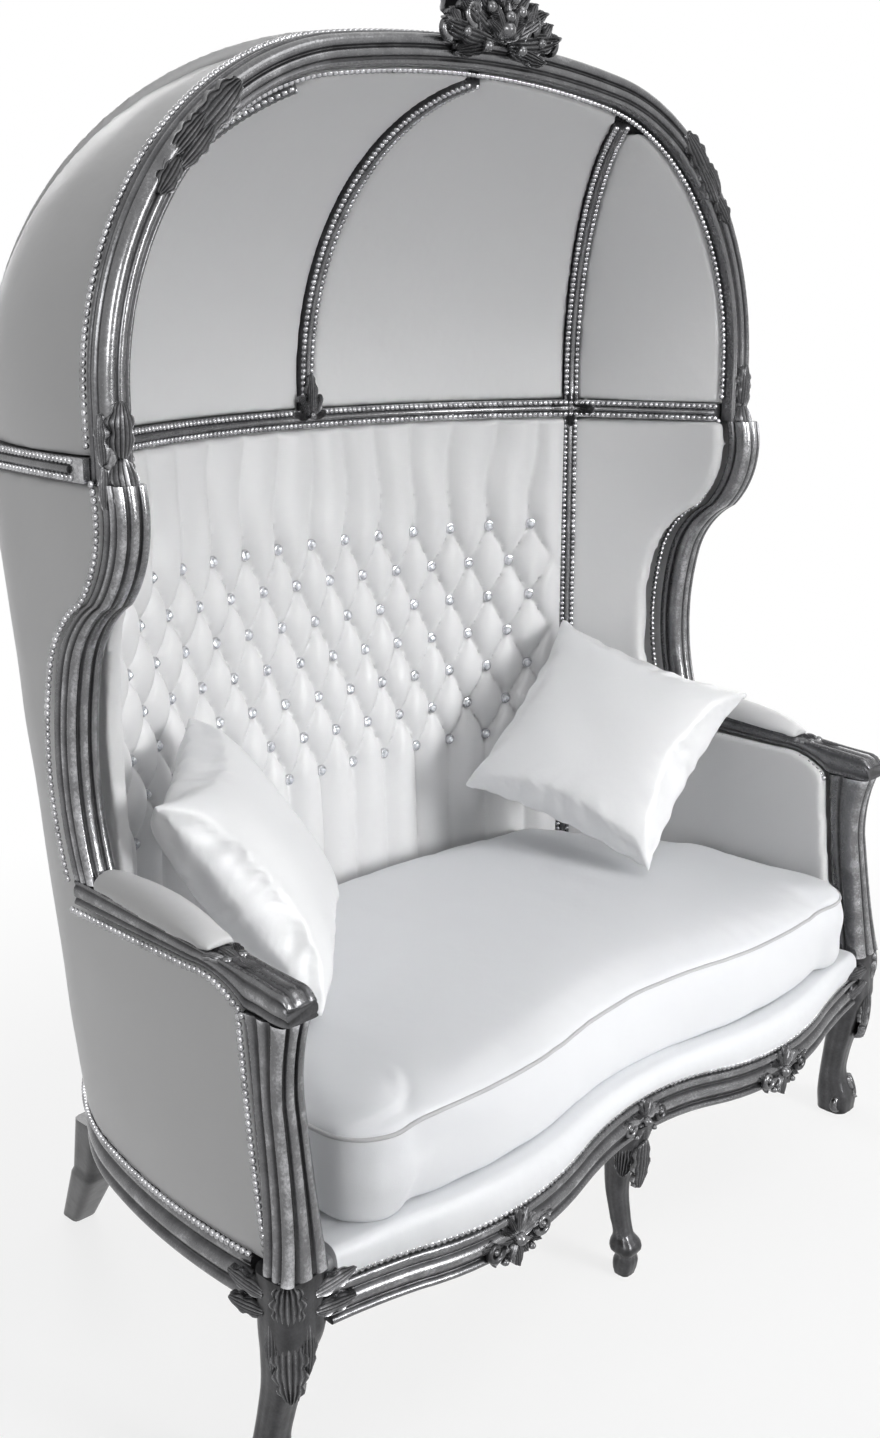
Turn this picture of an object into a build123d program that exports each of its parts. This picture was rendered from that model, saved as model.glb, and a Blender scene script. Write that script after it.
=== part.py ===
from build123d import *
import os
from math import atan2, cos, degrees, hypot, pi, radians, sin, sqrt

os.makedirs("parts", exist_ok=True)

# Two-seater canopy sofa: X to the sitter's left, Y from front to back, Z up, floor at zero
# Overall form
frame_half_width = 668
canopy_depth = 455
plan_shift = 27.5
fit_gap = 0.3
overrun = 40

# Arch of the canopy
arch_face_width = 45
arch_front = 35
arch_depth = 34
arch_spring_height = 1340
arch_top_height = 1805
arch_shoulder_radius = 448
arch_joint_angle = 46
arch_back = arch_depth - arch_front
frame_inner = frame_half_width - arch_face_width

# Canopy rail, ribs and star corners
canopy_rail_bottom = 1241
canopy_rail_thickness = 30
canopy_rail_top = canopy_rail_bottom + canopy_rail_thickness
canopy_rail_middle = canopy_rail_bottom + canopy_rail_thickness / 2
rail_proud = 4
dome_spring_height = 1313
star_x = 500
star_y = 237
inner_depth = 380
rib_width = 26
rib_depth = 26
rib_proud = 5
side_rib_top_x = 330
outer_top_x = 212
rosette_width = 104
rosette_height = 66
rosette_thickness = 9
rib_foot_width = 58
rib_foot_height = 62
rib_foot_thickness = 9

# Upholstered panels
inner_thickness = 24
outer_thickness = 22
inner_proud = 10
dome_puff = 16
side_puff = 8

# Side frames and arms
wing_depth = 44
arm_joint_height = 718
arm_rail_thickness = 36
arm_tip_height = 688
arm_tip_reach = 335
arm_tip_thickness = 40
post_top_height = arm_tip_height - arm_tip_thickness
arm_pad_length = 205
arm_pad_height = 30
arm_pad_width = 54

# Seat rails and legs
seat_rail_top = 326
seat_rail_thickness = 64
seat_rail_bottom = seat_rail_top - seat_rail_thickness
seat_rail_width = 78
bow_x = 322
bow_front = 386
valley_front = 350
rail_end_front = 345
apron_height = 54
apron_low_bow = 224
apron_low_middle = 246
apron_low_end = 240
leg_block_width = 74
leg_block_depth = 84
leg_block_inner = 616
leg_block_front = 355
centre_leg_top = 66
centre_leg_front = 327
rear_leg_top = 62
rear_leg_foot = 40
shell_width = 140
shell_height = 74
shell_proud = 18
centre_carving_width = 90
dowel_diameter = 12
dowel_length = 50
webbing_width = 50
webbing_thickness = 2
webbing_drop = 12
corner_block_size = 110
corner_block_height = 34

# Back posts and tufted back
post_width = 28
post_depth = 32
post_angle = 48
deck_thickness = 15
deck_top = seat_rail_top + deck_thickness
deck_side_gap = 3
border_setback = 4
tuft_pitch = 73
tuft_row_pitch = 65
tuft_rows = 7
tuft_columns = 13
tuft_top_height = 1048
tuft_depth = 22
tuft_base_depth = 345
pleat_depth = 9
tuft_rear_gap = 8
button_radius = 8
button_sink = 7
button_crown = 5

# Loose cushions
cushion_height = 134
cushion_crown = 22
cushion_setback = 4
cushion_half_width = 596
cushion_rear_width = 430
pillow_size = 400
pillow_thickness = 135
pillow_edge = 8
pillow_draw = 16

# Crest and carvings
crest_width = 262
crest_height = 122
crest_bottom = 1776
crest_front = 58
crest_back = 8
leaf_length = 165
leaf_width = 54
leaf_thickness = 12

# Points of the body's outer plan, as shares of the half width and of the depth
outer_low_shares = [
    (1.004, -0.66), (1.006, -0.22), (0.956, 0.22), (0.896, 0.43), (0.793, 0.637), (0, 0.945)]
outer_high_shares = [
    (0.988, -0.66), (1.009, 0), (0.981, 0.495), (0.931, 0.66), (0.808, 0.774), (0, 1)]
# Front and rear curves of the side frames, as shares of the depth and of their height
wing_front_shares = [
    (0.099, 0), (0.160, 0.33), (0.121, 0.55), (0.055, 0.65), (-0.037, 0.712), (-0.107, 0.80), (-0.125, 1)]
post_front_shares = [(-0.772, 0), (-0.738, 0.325), (-0.703, 0.665), (-0.709, 0.845), (-0.736, 1)]
post_rear_shares = [(-0.660, 0), (-0.615, 0.36), (-0.589, 0.665), (-0.576, 0.845), (-0.567, 1)]
# Cabriole legs: height share, size share, then offsets as shares of the leg's height
front_leg_shares = [
    (1, 1, 0, 0), (0.93, 0.98, 0, 0), (0.80, 0.80, 0.01, 0.02), (0.62, 0.68, 0.02, 0.05),
    (0.42, 0.60, 0.035, 0.09), (0.27, 0.62, 0.05, 0.11), (0.12, 0.90, 0.075, 0.09), (0, 0.80, 0.08, 0.09)]
centre_leg_shares = [
    (1, 1, 0, 0), (0.80, 0.70, 0, 0.06), (0.55, 0.54, 0, 0.09), (0.32, 0.46, 0, 0.06),
    (0.21, 0.64, 0, 0.02), (0.13, 0.50, 0, 0.01), (0, 0.44, 0, 0.02)]
leg_corner_share = 0.28
# Rear legs: height share, size share from foot to top, then x and y as shares of half width and depth
rear_leg_shares = [(1, 1, 0.812, 0.55), (0.50, 0.75, 0.770, 0.71), (0, 0, 0.728, 0.925)]
# Bows of the back's front as powers of the distance from its middle, at the seat and at the canopy rail
bow_power_shares = (3.8, 2)
# How far the front's outer curve still swells halfway down to its end
front_swell_share = 0.58
# The arm rail's thickness where it sweeps up from the post, as shares of its thickness at the back
arm_sweep_shares = (0.745, 0.634)
# The pillow's thickness at places across it, then the outlines of crest and carvings as shares of their size
pillow_shares = [(-1, 0.06), (-0.82, 0.52), (-0.45, 0.90), (0, 1), (0.45, 0.90), (0.82, 0.52), (1, 0.06)]
crest_shares = [
    (0, 1), (0.17, 0.97), (0.22, 0.80), (0.40, 0.84), (0.45, 0.66), (0.62, 0.66), (0.68, 0.48),
    (0.92, 0.44), (1, 0.22), (0.90, 0.02), (0.72, 0.10), (0.50, 0), (0.36, 0.06)]
shell_shares = [(1, 0.10), (0.98, 0.45), (0.62, 0.55), (0.52, 0.86), (0.22, 0.84)]
# Arm pad: place along it, then its width and its crown
arm_pad_shares = [(0, 0.86, 0.75), (0.35, 1, 1), (0.75, 1, 0.86), (1, 0.80, 0.30)]
# Where the pillows lean: origin as shares of half width, depth and canopy rail height, then two directions
left_pillow_shares = [(-0.580, 0.155, 0.5448), (0.66, 0.75, 0.03), (0.58, -0.595, 0.556)]
right_pillow_shares = [(0.590, 0.125, 0.5573), (0.243, -0.936, -0.255), (-0.665, -0.352, 0.658)]


def line(start, end):
    return Edge.make_line(Vector(*start), Vector(*end))


def arc(start, middle, end):
    return Edge.make_three_point_arc(Vector(*start), Vector(*middle), Vector(*end))


def curve_chain(points):
    """Arcs through points that alternate between ends and middles."""
    return [arc(*points[i:i + 3]) for i in range(0, len(points) - 2, 2)]


def closed_face(*pieces):
    edges = []
    for piece in pieces:
        edges.extend(piece if isinstance(piece, list) else [piece])
    return Face(Wire(edges))


def polygon(points):
    return Face(Wire.make_polygon([Vector(*point) for point in points]))


def prism(face, direction, length):
    return Solid.extrude(face, Vector(*direction) * length)


def mirrored(shape):
    return shape.mirror(Plane.YZ)


def mix(low, high, share):
    return low + (high - low) * share


def box_between(low, high):
    size = [high[i] - low[i] for i in range(3)]
    return Pos(*low) * Box(*size, align=(Align.MIN, Align.MIN, Align.MIN))


def whole(shape):
    """The largest solid of a cut, which is the piece itself."""
    return sorted(shape.solids(), key=lambda solid: solid.volume)[-1]


# Arch geometry: a three-centred curve, described for any inset from its outer edge
def arch_curve(inset):
    radius = arch_shoulder_radius - inset
    centre_x = frame_half_width - arch_shoulder_radius
    rise = arch_top_height - inset - arch_spring_height
    crown_radius = (centre_x ** 2 + rise ** 2 - radius ** 2) / (2 * (rise - radius))
    crown_height = arch_top_height - inset - crown_radius
    lean = atan2(arch_spring_height - crown_height, centre_x)
    return centre_x, radius, crown_radius, crown_height, lean


def arch_point(inset, angle):
    centre_x, radius, crown_radius, crown_height, lean = arch_curve(inset)
    if angle <= lean:
        return centre_x + radius * cos(angle), arch_spring_height + radius * sin(angle)
    return crown_radius * cos(angle), crown_height + crown_radius * sin(angle)


def arch_half_at(inset, height):
    """Half width of the arch curve at a height."""
    centre_x, radius, crown_radius, crown_height, lean = arch_curve(inset)
    if height <= arch_spring_height:
        return frame_half_width - inset
    if height <= arch_point(inset, lean)[1]:
        return centre_x + sqrt(radius ** 2 - (height - arch_spring_height) ** 2)
    return sqrt(crown_radius ** 2 - (height - crown_height) ** 2)


def arch_height_at(inset, x):
    """Height of the arch curve at a distance from its middle."""
    centre_x, radius, crown_radius, crown_height, lean = arch_curve(inset)
    if x > arch_point(inset, lean)[0]:
        return arch_spring_height + sqrt(radius ** 2 - (x - centre_x) ** 2)
    return crown_height + sqrt(crown_radius ** 2 - x ** 2)


def arch_arc(inset, start, end, side=1):
    points = []
    for angle in (start, (start + end) / 2, end):
        x, height = arch_point(inset, angle)
        points.append((side * x, -arch_front, height))
    return arc(*points)


def make_arch_leg():
    joint = radians(arch_joint_angle)
    outer_foot = (frame_half_width, -arch_front, canopy_rail_bottom)
    inner_foot = (frame_inner, -arch_front, canopy_rail_bottom)
    outer_spring = (frame_half_width, -arch_front, arch_spring_height)
    inner_spring = (frame_inner, -arch_front, arch_spring_height)
    outer_x, outer_z = arch_point(0, joint)
    inner_x, inner_z = arch_point(arch_face_width, joint)
    face = closed_face(
        line(inner_foot, outer_foot),
        line(outer_foot, outer_spring),
        arch_arc(0, 0, joint),
        line((outer_x, -arch_front, outer_z), (inner_x, -arch_front, inner_z)),
        arch_arc(arch_face_width, joint, 0),
        line(inner_spring, inner_foot))
    return prism(face, (0, 1, 0), arch_depth)


def make_arch_top():
    joint = radians(arch_joint_angle)
    edges = []
    for inset in (0, arch_face_width):
        lean = arch_curve(inset)[4]
        top = pi / 2
        crown = []
        for angle, side in ((lean, 1), (top, 1), (lean, -1)):
            x, height = arch_point(inset, angle)
            crown.append((side * x, -arch_front, height))
        edges.append([arch_arc(inset, joint, lean), arc(*crown), arch_arc(inset, joint, lean, -1)])
    ends = []
    for side in (1, -1):
        pair = []
        for inset in (0, arch_face_width):
            x, height = arch_point(inset, joint)
            pair.append((side * x, -arch_front, height))
        ends.append(line(*pair))
    return prism(closed_face(edges[0], edges[1], ends), (0, 1, 0), arch_depth)


# Side frame curves, as points in the plane of the side
def side_points(shares, low, high, shift=0, x=0):
    return [(x, share * canopy_depth + shift, mix(low, high, rise)) for share, rise in shares]


def strip_prism(front, rear):
    """Strip of the side frame between its front and its rear curve."""
    ends = [line(front[-1], rear[-1]), line(rear[0], front[0])]
    return prism(closed_face(curve_chain(front), curve_chain(rear), ends), (1, 0, 0), arch_face_width)


def make_wing_frame():
    front = side_points(wing_front_shares, arm_joint_height, canopy_rail_bottom, 0, frame_inner)
    rear = side_points(wing_front_shares, arm_joint_height, canopy_rail_bottom, wing_depth, frame_inner)
    return strip_prism(front, rear)


def make_arm_post():
    front = side_points(post_front_shares, seat_rail_top, post_top_height, 0, frame_inner)
    rear = side_points(post_rear_shares, seat_rail_top, post_top_height, 0, frame_inner)
    return strip_prism(front, rear)


def arm_rail_back():
    return wing_front_shares[0][0] * canopy_depth + wing_depth


def arm_pad_front():
    return wing_front_shares[0][0] * canopy_depth - arm_pad_length - arm_pad_height


def arm_top_at(y):
    """Height of the straight top of the arm rail under its pad."""
    slope = (arm_joint_height - arm_tip_height) / (arm_rail_back() + arm_tip_reach)
    return arm_joint_height - slope * (arm_rail_back() - y)


def make_arm_rail():
    back = arm_rail_back()
    post_back = post_rear_shares[-1][0] * canopy_depth
    tip = -arm_tip_reach
    bottom_back = arm_joint_height - arm_rail_thickness
    step = arm_pad_front() - post_back
    sweep_y = post_back + step / 2
    end_y = arm_pad_front() + step / 2
    points = {
        "back_top": (frame_inner, back, arm_joint_height),
        "pad_end": (frame_inner, arm_pad_front(), arm_top_at(arm_pad_front())),
        "tip_top": (frame_inner, tip, arm_tip_height),
        "tip_nose": (frame_inner, tip - rail_proud, (arm_tip_height + post_top_height) / 2),
        "tip_bottom": (frame_inner, tip, post_top_height),
        "post_back": (frame_inner, post_back, post_top_height),
        "sweep": (frame_inner, sweep_y, arm_top_at(sweep_y) - arm_rail_thickness * arm_sweep_shares[0]),
        "sweep_end": (frame_inner, end_y, arm_top_at(end_y) - arm_rail_thickness * arm_sweep_shares[1]),
        "back_bottom": (frame_inner, back, bottom_back)}
    face = closed_face(
        line(points["back_top"], points["pad_end"]),
        line(points["pad_end"], points["tip_top"]),
        arc(points["tip_top"], points["tip_nose"], points["tip_bottom"]),
        line(points["tip_bottom"], points["post_back"]),
        arc(points["post_back"], points["sweep"], points["sweep_end"]),
        line(points["sweep_end"], points["back_bottom"]),
        line(points["back_bottom"], points["back_top"]))
    return prism(face, (1, 0, 0), arch_face_width), points


def make_arm_pad():
    """Leather pad on the arm: sections that grow to a crown and close again."""
    middle = frame_inner + arch_face_width / 2
    back = wing_front_shares[0][0] * canopy_depth - fit_gap
    front = arm_pad_front()
    sections = []
    for share, size, crown in arm_pad_shares:
        y = mix(back, front, share)
        base = arm_top_at(y) + fit_gap
        half = arm_pad_width * size / 2
        shoulder = base + arm_pad_height * crown * 0.35
        top = base + arm_pad_height * crown
        sections.append(Wire([
            line((middle - half, y, base), (middle + half, y, base)),
            line((middle + half, y, base), (middle + half, y, shoulder)),
            arc((middle + half, y, shoulder), (middle, y, top), (middle - half, y, shoulder)),
            line((middle - half, y, shoulder), (middle - half, y, base))]))
    return Solid.make_loft(sections)


# Plan outlines of the body
def outer_plan(share, grow=0):
    """Right half of the outer plan, from the front to the middle of the back."""
    points = []
    for low, high in zip(outer_low_shares, outer_high_shares):
        x, y = [mix(low[i], high[i], share) for i in range(2)]
        points.append((x * frame_half_width, y * canopy_depth))
    grown = []
    for i, (x, y) in enumerate(points):
        before = points[max(i - 1, 0)]
        after = points[i + 1] if i + 1 < len(points) else (-points[-2][0], points[-2][1])
        run = hypot(after[0] - before[0], after[1] - before[1])
        grown.append((x + grow * (after[1] - before[1]) / run, y - grow * (after[0] - before[0]) / run))
    return grown


def outer_wire(share, height, grow=0, front=0):
    """Closed outer outline at a height, which can run further to the front."""
    right = outer_plan(share, grow)
    right[0] = (right[0][0], right[0][1] - front)
    left = [(-x, y) for x, y in right]
    at = [(x, y, height) for x, y in right]
    to = [(x, y, height) for x, y in left]
    return Wire([
        arc(at[0], at[1], at[2]),
        arc(at[2], at[3], at[4]),
        arc(at[4], at[5], to[4]),
        arc(to[4], to[3], to[2]),
        arc(to[2], to[1], to[0]),
        line(to[0], at[0])])


def wall_share(height):
    return (height - seat_rail_top) / (canopy_rail_bottom - seat_rail_top)


def outer_solid(low, high, grow=0, front=0):
    wires = [outer_wire(wall_share(height), height, grow, front) for height in (low, high)]
    return Solid.make_loft(wires, True)


def make_outer_wall():
    low = seat_rail_top + fit_gap
    high = canopy_rail_bottom - fit_gap
    hollow = outer_solid(low - fit_gap, high + fit_gap, -outer_thickness, overrun)
    return outer_solid(low, high) - hollow


def inner_side_points(x_shift=0):
    """Inner face of the side, from the front to the star post."""
    return [
        (frame_inner - inner_proud * 2 + x_shift, -arm_tip_reach),
        (frame_inner - inner_proud * 2 + x_shift, -arch_front),
        (mix(star_x, frame_inner, 0.52) + x_shift, mix(star_y, -arch_front, 0.46)),
        (star_x + x_shift, star_y)]


def side_region(gap):
    """Solid that holds everything behind the side frame's rear edge and below the arm."""
    rail, points = make_arm_rail()
    post = side_points(post_rear_shares, seat_rail_top, post_top_height, gap)
    wing = side_points(wing_front_shares, arm_joint_height, canopy_rail_bottom, wing_depth + gap)
    far = canopy_depth + overrun

    def low(name, along=0):
        return (0, points[name][1] + along, points[name][2] - gap)

    top = canopy_rail_bottom - gap
    foot = seat_rail_top + gap
    face = closed_face(
        curve_chain(post),
        line(post[-1], low("post_back", gap)),
        arc(low("post_back", gap), low("sweep"), low("sweep_end")),
        line(low("sweep_end"), low("back_bottom", gap)),
        line(low("back_bottom", gap), wing[0]),
        curve_chain(wing),
        line(wing[-1], (0, far, wing[-1][2])),
        line((0, far, wing[-1][2]), (0, far, post[0][2])),
        line((0, far, post[0][2]), post[0]))
    solid = prism(face, (1, 0, 0), frame_half_width + overrun)
    keep = box_between((0, -canopy_depth, foot), (frame_half_width + overrun, far, top))
    return solid & keep


def make_back_post(gap=0):
    """Upright at the star corner, turned to face the middle of the seat."""
    low = seat_rail_top if gap == 0 else seat_rail_bottom
    high = canopy_rail_bottom if gap == 0 else canopy_rail_top
    stand = (Align.CENTER, Align.CENTER, Align.MIN)
    block = Box(post_width + 2 * gap, post_depth + 2 * gap, high - low, align=stand)
    block = Pos(0, post_depth / 2, 0) * block
    return Pos(star_x, star_y, low) * Rot(0, 0, -post_angle) * block


def make_inner_side_panel(region, post_room):
    thick = inner_thickness
    face = inner_side_points()
    reach = post_depth / 2
    height = seat_rail_top

    def at(point, out_x=0, out_y=0):
        return (point[0] + out_x, point[1] + out_y, height)

    outline = closed_face(
        line(at(face[0]), at(face[1])),
        arc(at(face[1]), at(face[2]), at(face[3])),
        line(at(face[3]), at(face[3], reach, reach)),
        arc(at(face[3], reach, reach), at(face[2], thick), at(face[1], thick)),
        line(at(face[1], thick), at(face[0], thick)),
        line(at(face[0], thick), at(face[0])))
    wall = prism(outline, (0, 0, 1), canopy_rail_bottom - seat_rail_top)
    return whole((wall & region) - post_room)


# Canopy ring between the dome and the body
def ring_inner_points(proud):
    side = inner_side_points()
    return [
        (frame_inner - inner_proud - proud, arch_back + fit_gap),
        (side[2][0] - proud, side[2][1]),
        (star_x - proud, star_y - proud),
        (0, inner_depth - proud)]


def ring_hole(proud, low, height):
    """Free space inside the canopy ring, open to the front."""
    inner = [(x, y, low) for x, y in ring_inner_points(proud)]
    opposite = [(-x, y, z) for x, y, z in inner]
    reach = overrun + arm_tip_reach
    lead = (inner[0][0], -reach, low)
    other = (-inner[0][0], -reach, low)
    hole = closed_face(
        line(lead, inner[0]),
        arc(inner[0], inner[1], inner[2]),
        arc(inner[2], inner[3], opposite[2]),
        arc(opposite[2], opposite[1], opposite[0]),
        line(opposite[0], other),
        line(other, lead))
    return prism(hole, (0, 0, 1), height)


def make_canopy_ring():
    low = canopy_rail_bottom
    front = arch_back + fit_gap
    body = prism(Face(outer_wire(1, low, rail_proud)), (0, 0, 1), canopy_rail_thickness)
    ring = body - ring_hole(rail_proud, low, canopy_rail_thickness)
    wide = frame_half_width + overrun
    far = canopy_depth + overrun
    split = star_x + post_width / 2
    near = split - fit_gap / 2
    back = ring & box_between((-near, front, low), (near, far, canopy_rail_top))
    side = ring & box_between((near + fit_gap, front, low), (wide, far, canopy_rail_top))
    return whole(back), whole(side)


# Meridians of the dome: upright circular arcs from the ring to the arch
class Meridian:
    def __init__(self, base, top, base_height, top_height):
        self.base = Vector(*base)
        self.top = Vector(*top)
        self.low = base_height
        self.high = top_height
        self.span = (self.base - self.top).length
        self.out = (self.base - self.top).normalized()
        drop = base_height - dome_spring_height
        rise = top_height - dome_spring_height
        self.centre = (self.span ** 2 + drop ** 2 - rise ** 2) / (2 * self.span)
        self.radius = hypot(self.span - self.centre, drop)

    def at(self, height, grow=0):
        reach = self.centre + sqrt((self.radius + grow) ** 2 - (height - dome_spring_height) ** 2)
        spot = self.top + self.out * reach
        return (spot.X, spot.Y, height)

    def end(self, grow=0):
        """Where the grown arc meets the upright line over the meridian's top point."""
        height = dome_spring_height + sqrt((self.radius + grow) ** 2 - self.centre ** 2)
        return (self.top.X, self.top.Y, height)

    def middle(self, grow=0):
        low = atan2(self.low - dome_spring_height, self.span - self.centre)
        high = atan2(self.high - dome_spring_height, -self.centre)
        turn = (low + high) / 2
        spot = self.top + self.out * (self.centre + (self.radius + grow) * cos(turn))
        return (spot.X, spot.Y, dome_spring_height + (self.radius + grow) * sin(turn))

    def loop(self, inward, outward):
        """Closed outline of a bar or panel section that follows the arc."""
        inner = [self.at(self.low, -inward[0]), self.middle(-inward[1]), self.end(-inward[0])]
        outer = [self.at(self.low, outward), self.middle(outward), self.end(outward)]
        return Wire([
            arc(*inner),
            line(inner[2], outer[2]),
            arc(outer[2], outer[1], outer[0]),
            line(outer[0], inner[0])])


def bow_y(x):
    """Inner plan of the back at a distance from the middle, on the arc through both stars."""
    sag = inner_depth - star_y
    radius = (star_x ** 2 + sag ** 2) / (2 * sag)
    return inner_depth - radius + sqrt(radius ** 2 - x ** 2)


def side_rib_line(offset):
    """Plan line beside the side rib: its base and its end at the back of the arch."""
    base = Vector(star_x, star_y)
    top = Vector(side_rib_top_x, arch_back)
    out = (base - top).normalized()
    aside = Vector(out.Y, -out.X) * offset
    start = base + aside
    front = arch_back + fit_gap
    finish = start - out * ((start.Y - front) / out.Y)
    return (start.X, start.Y), (finish.X, finish.Y)


def side_meridian(offset):
    base, top = side_rib_line(offset)
    height = arch_height_at(arch_face_width + inner_proud, side_rib_top_x)
    return Meridian(base, top, canopy_rail_top + fit_gap, height)


def centre_meridian(base_x, top_x):
    top = (top_x, arch_back + fit_gap)
    height = arch_height_at(arch_face_width + inner_proud, top_x)
    return Meridian((base_x, bow_y(base_x)), top, canopy_rail_top + fit_gap, height)


def make_rib(meridian):
    wire = meridian.loop((rib_proud, rib_proud), rib_depth)
    normal = Vector(meridian.out.Y, -meridian.out.X)
    bar = Solid.extrude(Face(wire), normal * rib_width).moved(Location(normal * (-rib_width / 2)))
    behind = box_between(
        (-frame_half_width, arch_back + fit_gap, 0), (frame_half_width, canopy_depth, arch_top_height))
    return whole(bar & behind)


def make_inner_centre_gore():
    edge = rib_width / 2 + fit_gap
    sections = [
        centre_meridian(edge, edge).loop((0, 0), inner_thickness),
        centre_meridian(star_x * 0.33, side_rib_top_x * 0.34).loop((0, dome_puff), inner_thickness),
        centre_meridian(star_x * 0.67, side_rib_top_x * 0.67).loop((0, dome_puff), inner_thickness),
        side_meridian(-edge).loop((0, 0), inner_thickness)]
    return Solid.make_loft(sections)


def flat_section(inner_start, inner_end, out_start, thickness, bulge, height):
    """Level section of a side gore, from its rib to the back of the arch."""
    start = Vector(*inner_start)
    end = Vector(*inner_end)
    along = (end - start).normalized()
    away = Vector(-along.Y, along.X)
    if away.X < 0:
        away = away * -1
    mid = (start + end) * 0.5
    outer_start = start + out_start * thickness
    outer_end = Vector(end.X + thickness, end.Y)
    outer_mid = mid + away * (thickness + max(bulge, 0))
    inner_mid = mid + away * bulge

    def at(spot):
        return (spot.X, spot.Y, height)

    return Wire([
        arc(at(start), at(inner_mid), at(end)),
        line(at(end), at(outer_end)),
        arc(at(outer_end), at(outer_mid), at(outer_start)),
        line(at(outer_start), at(start))])


def make_inner_side_gore():
    meridian = side_meridian(rib_width / 2 + fit_gap)
    inset = arch_face_width + inner_proud
    sections = []
    for share in (0, 0.28, 0.54, 0.75, 0.90, 0.97):
        height = mix(meridian.low, meridian.high, share)
        start = meridian.at(height)[:2]
        end = (arch_half_at(inset, height), arch_back + fit_gap)
        fade = 1 - share
        sections.append(flat_section(start, end, meridian.out, inner_thickness, -side_puff * fade, height))
    return Solid.make_loft(sections)


def outer_back_y(x):
    """Outer plan of the back at the canopy rail, on its wide arc."""
    edge_x = outer_high_shares[4][0] * frame_half_width
    edge_y = outer_high_shares[4][1] * canopy_depth
    sag = canopy_depth - edge_y
    radius = (edge_x ** 2 + sag ** 2) / (2 * sag)
    return canopy_depth - radius + sqrt(radius ** 2 - x ** 2)


def outer_meridian(base, top_x):
    height = arch_height_at(0, top_x)
    return Meridian(base, (top_x, arch_back + fit_gap), canopy_rail_top + fit_gap, height)


def outer_corner():
    """Rear corner of the outer plan at the canopy rail."""
    return outer_high_shares[3][0] * frame_half_width, outer_high_shares[3][1] * canopy_depth


def corner_meridian(aside=0):
    corner_x, corner_y = outer_corner()
    return outer_meridian((corner_x + aside, corner_y), outer_top_x + aside)


def make_outer_centre_gore():
    edge_x = outer_high_shares[4][0] * frame_half_width
    edge_y = outer_high_shares[4][1] * canopy_depth
    corner_x, corner_y = outer_corner()
    round_spot = (mix(edge_x, corner_x, 0.58), mix(edge_y, corner_y, 0.40))
    half_gap = fit_gap / 2
    bases = [
        ((half_gap, canopy_depth), half_gap),
        ((edge_x * 0.33, outer_back_y(edge_x * 0.33)), outer_top_x * 0.28),
        ((edge_x * 0.67, outer_back_y(edge_x * 0.67)), outer_top_x * 0.58),
        ((edge_x, edge_y), outer_top_x * 0.86),
        (round_spot, outer_top_x * 0.94)]
    wall = (outer_thickness, outer_thickness)
    sections = [outer_meridian(base, top).loop(wall, 0) for base, top in bases]
    sections.append(corner_meridian(-fit_gap).loop(wall, 0))
    turn = len(sections) - 3
    return Solid.make_loft(sections[:turn + 1]) + Solid.make_loft(sections[turn:])


def make_outer_side_gore():
    meridian = corner_meridian()
    sections = []
    for share in (0, 0.22, 0.43, 0.62, 0.78, 0.89, 0.955):
        height = mix(meridian.low, meridian.high, share)
        start = meridian.at(height, -outer_thickness)[:2]
        end = (arch_half_at(outer_thickness, height), arch_back + fit_gap)
        bulge = outer_thickness * (1 - share)
        sections.append(flat_section(start, end, meridian.out, outer_thickness, bulge, height))
    return Solid.make_loft(sections)


# Seat rails, legs and what hangs on them
def rail_wave(middle, bow, end):
    """Serpentine values along the front: a middle, two bows and two ends."""
    turn_x = bow_x / 2
    outer_x = bow_x + turn_x
    end_x = leg_block_inner - fit_gap
    side = mix(bow, end, 0.5)
    right = [
        (turn_x, mix(middle, bow, 0.5)),
        (bow_x, bow),
        (outer_x, side),
        (mix(outer_x, end_x, 0.5), mix(side, end, front_swell_share)),
        (end_x, end)]
    return [(-x, value) for x, value in reversed(right)] + [(0, middle)] + right


def front_chain(height, back=0):
    """Plan curve of the seat's front at a height, with its two ends."""
    wave = rail_wave(back - valley_front, back - bow_front, back - rail_end_front)
    points = [(x, y, height) for x, y in wave]
    return curve_chain(points), points[0], points[-1]


def front_band(low, high, near, far):
    """Strip that follows the seat's front between two setbacks."""
    front, left, right = front_chain(low, near)
    rear, rear_left, rear_right = front_chain(low, far)
    face = closed_face(front, line(right, rear_right), rear, line(rear_left, left))
    return prism(face, (0, 0, 1), high - low)


def apron_band(lift, top):
    """Block seen from the front whose lower edge follows the waved apron."""
    y = -bow_front - overrun
    levels = [low + lift for low in (apron_low_middle, apron_low_bow, apron_low_end)]
    points = [(x, y, height) for x, height in rail_wave(*levels)]
    high_left = (points[0][0], y, top)
    high_right = (points[-1][0], y, top)
    face = closed_face(
        curve_chain(points),
        line(points[-1], high_right),
        line(high_right, high_left),
        line(high_left, points[0]))
    return prism(face, (0, 1, 0), seat_rail_width * 2 + overrun * 2)


def make_front_rail():
    band = front_band(apron_low_bow, seat_rail_top, 0, seat_rail_width)
    return whole((band & apron_band(0, seat_rail_top)) - apron_band(apron_height, seat_rail_top))


def make_seat_ring():
    """Side and back rails, cut from one bent ring."""
    low = seat_rail_bottom
    outer = prism(Face(outer_wire(0, low)), (0, 0, 1), seat_rail_thickness)
    inner = prism(Face(outer_wire(0, low, -seat_rail_width, overrun)), (0, 0, 1), seat_rail_thickness)
    ring = outer - inner
    front = leg_block_depth - leg_block_front + fit_gap
    split = star_x * 0.9
    wide = frame_half_width + overrun
    far = canopy_depth + overrun
    side = ring & box_between((split + fit_gap / 2, front, low), (wide, far, seat_rail_top))
    back = ring & box_between((-split + fit_gap / 2, 0, low), (split - fit_gap / 2, far, seat_rail_top))
    return whole(side - front_band(low, seat_rail_top, 0, seat_rail_width)), whole(back), inner


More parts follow.
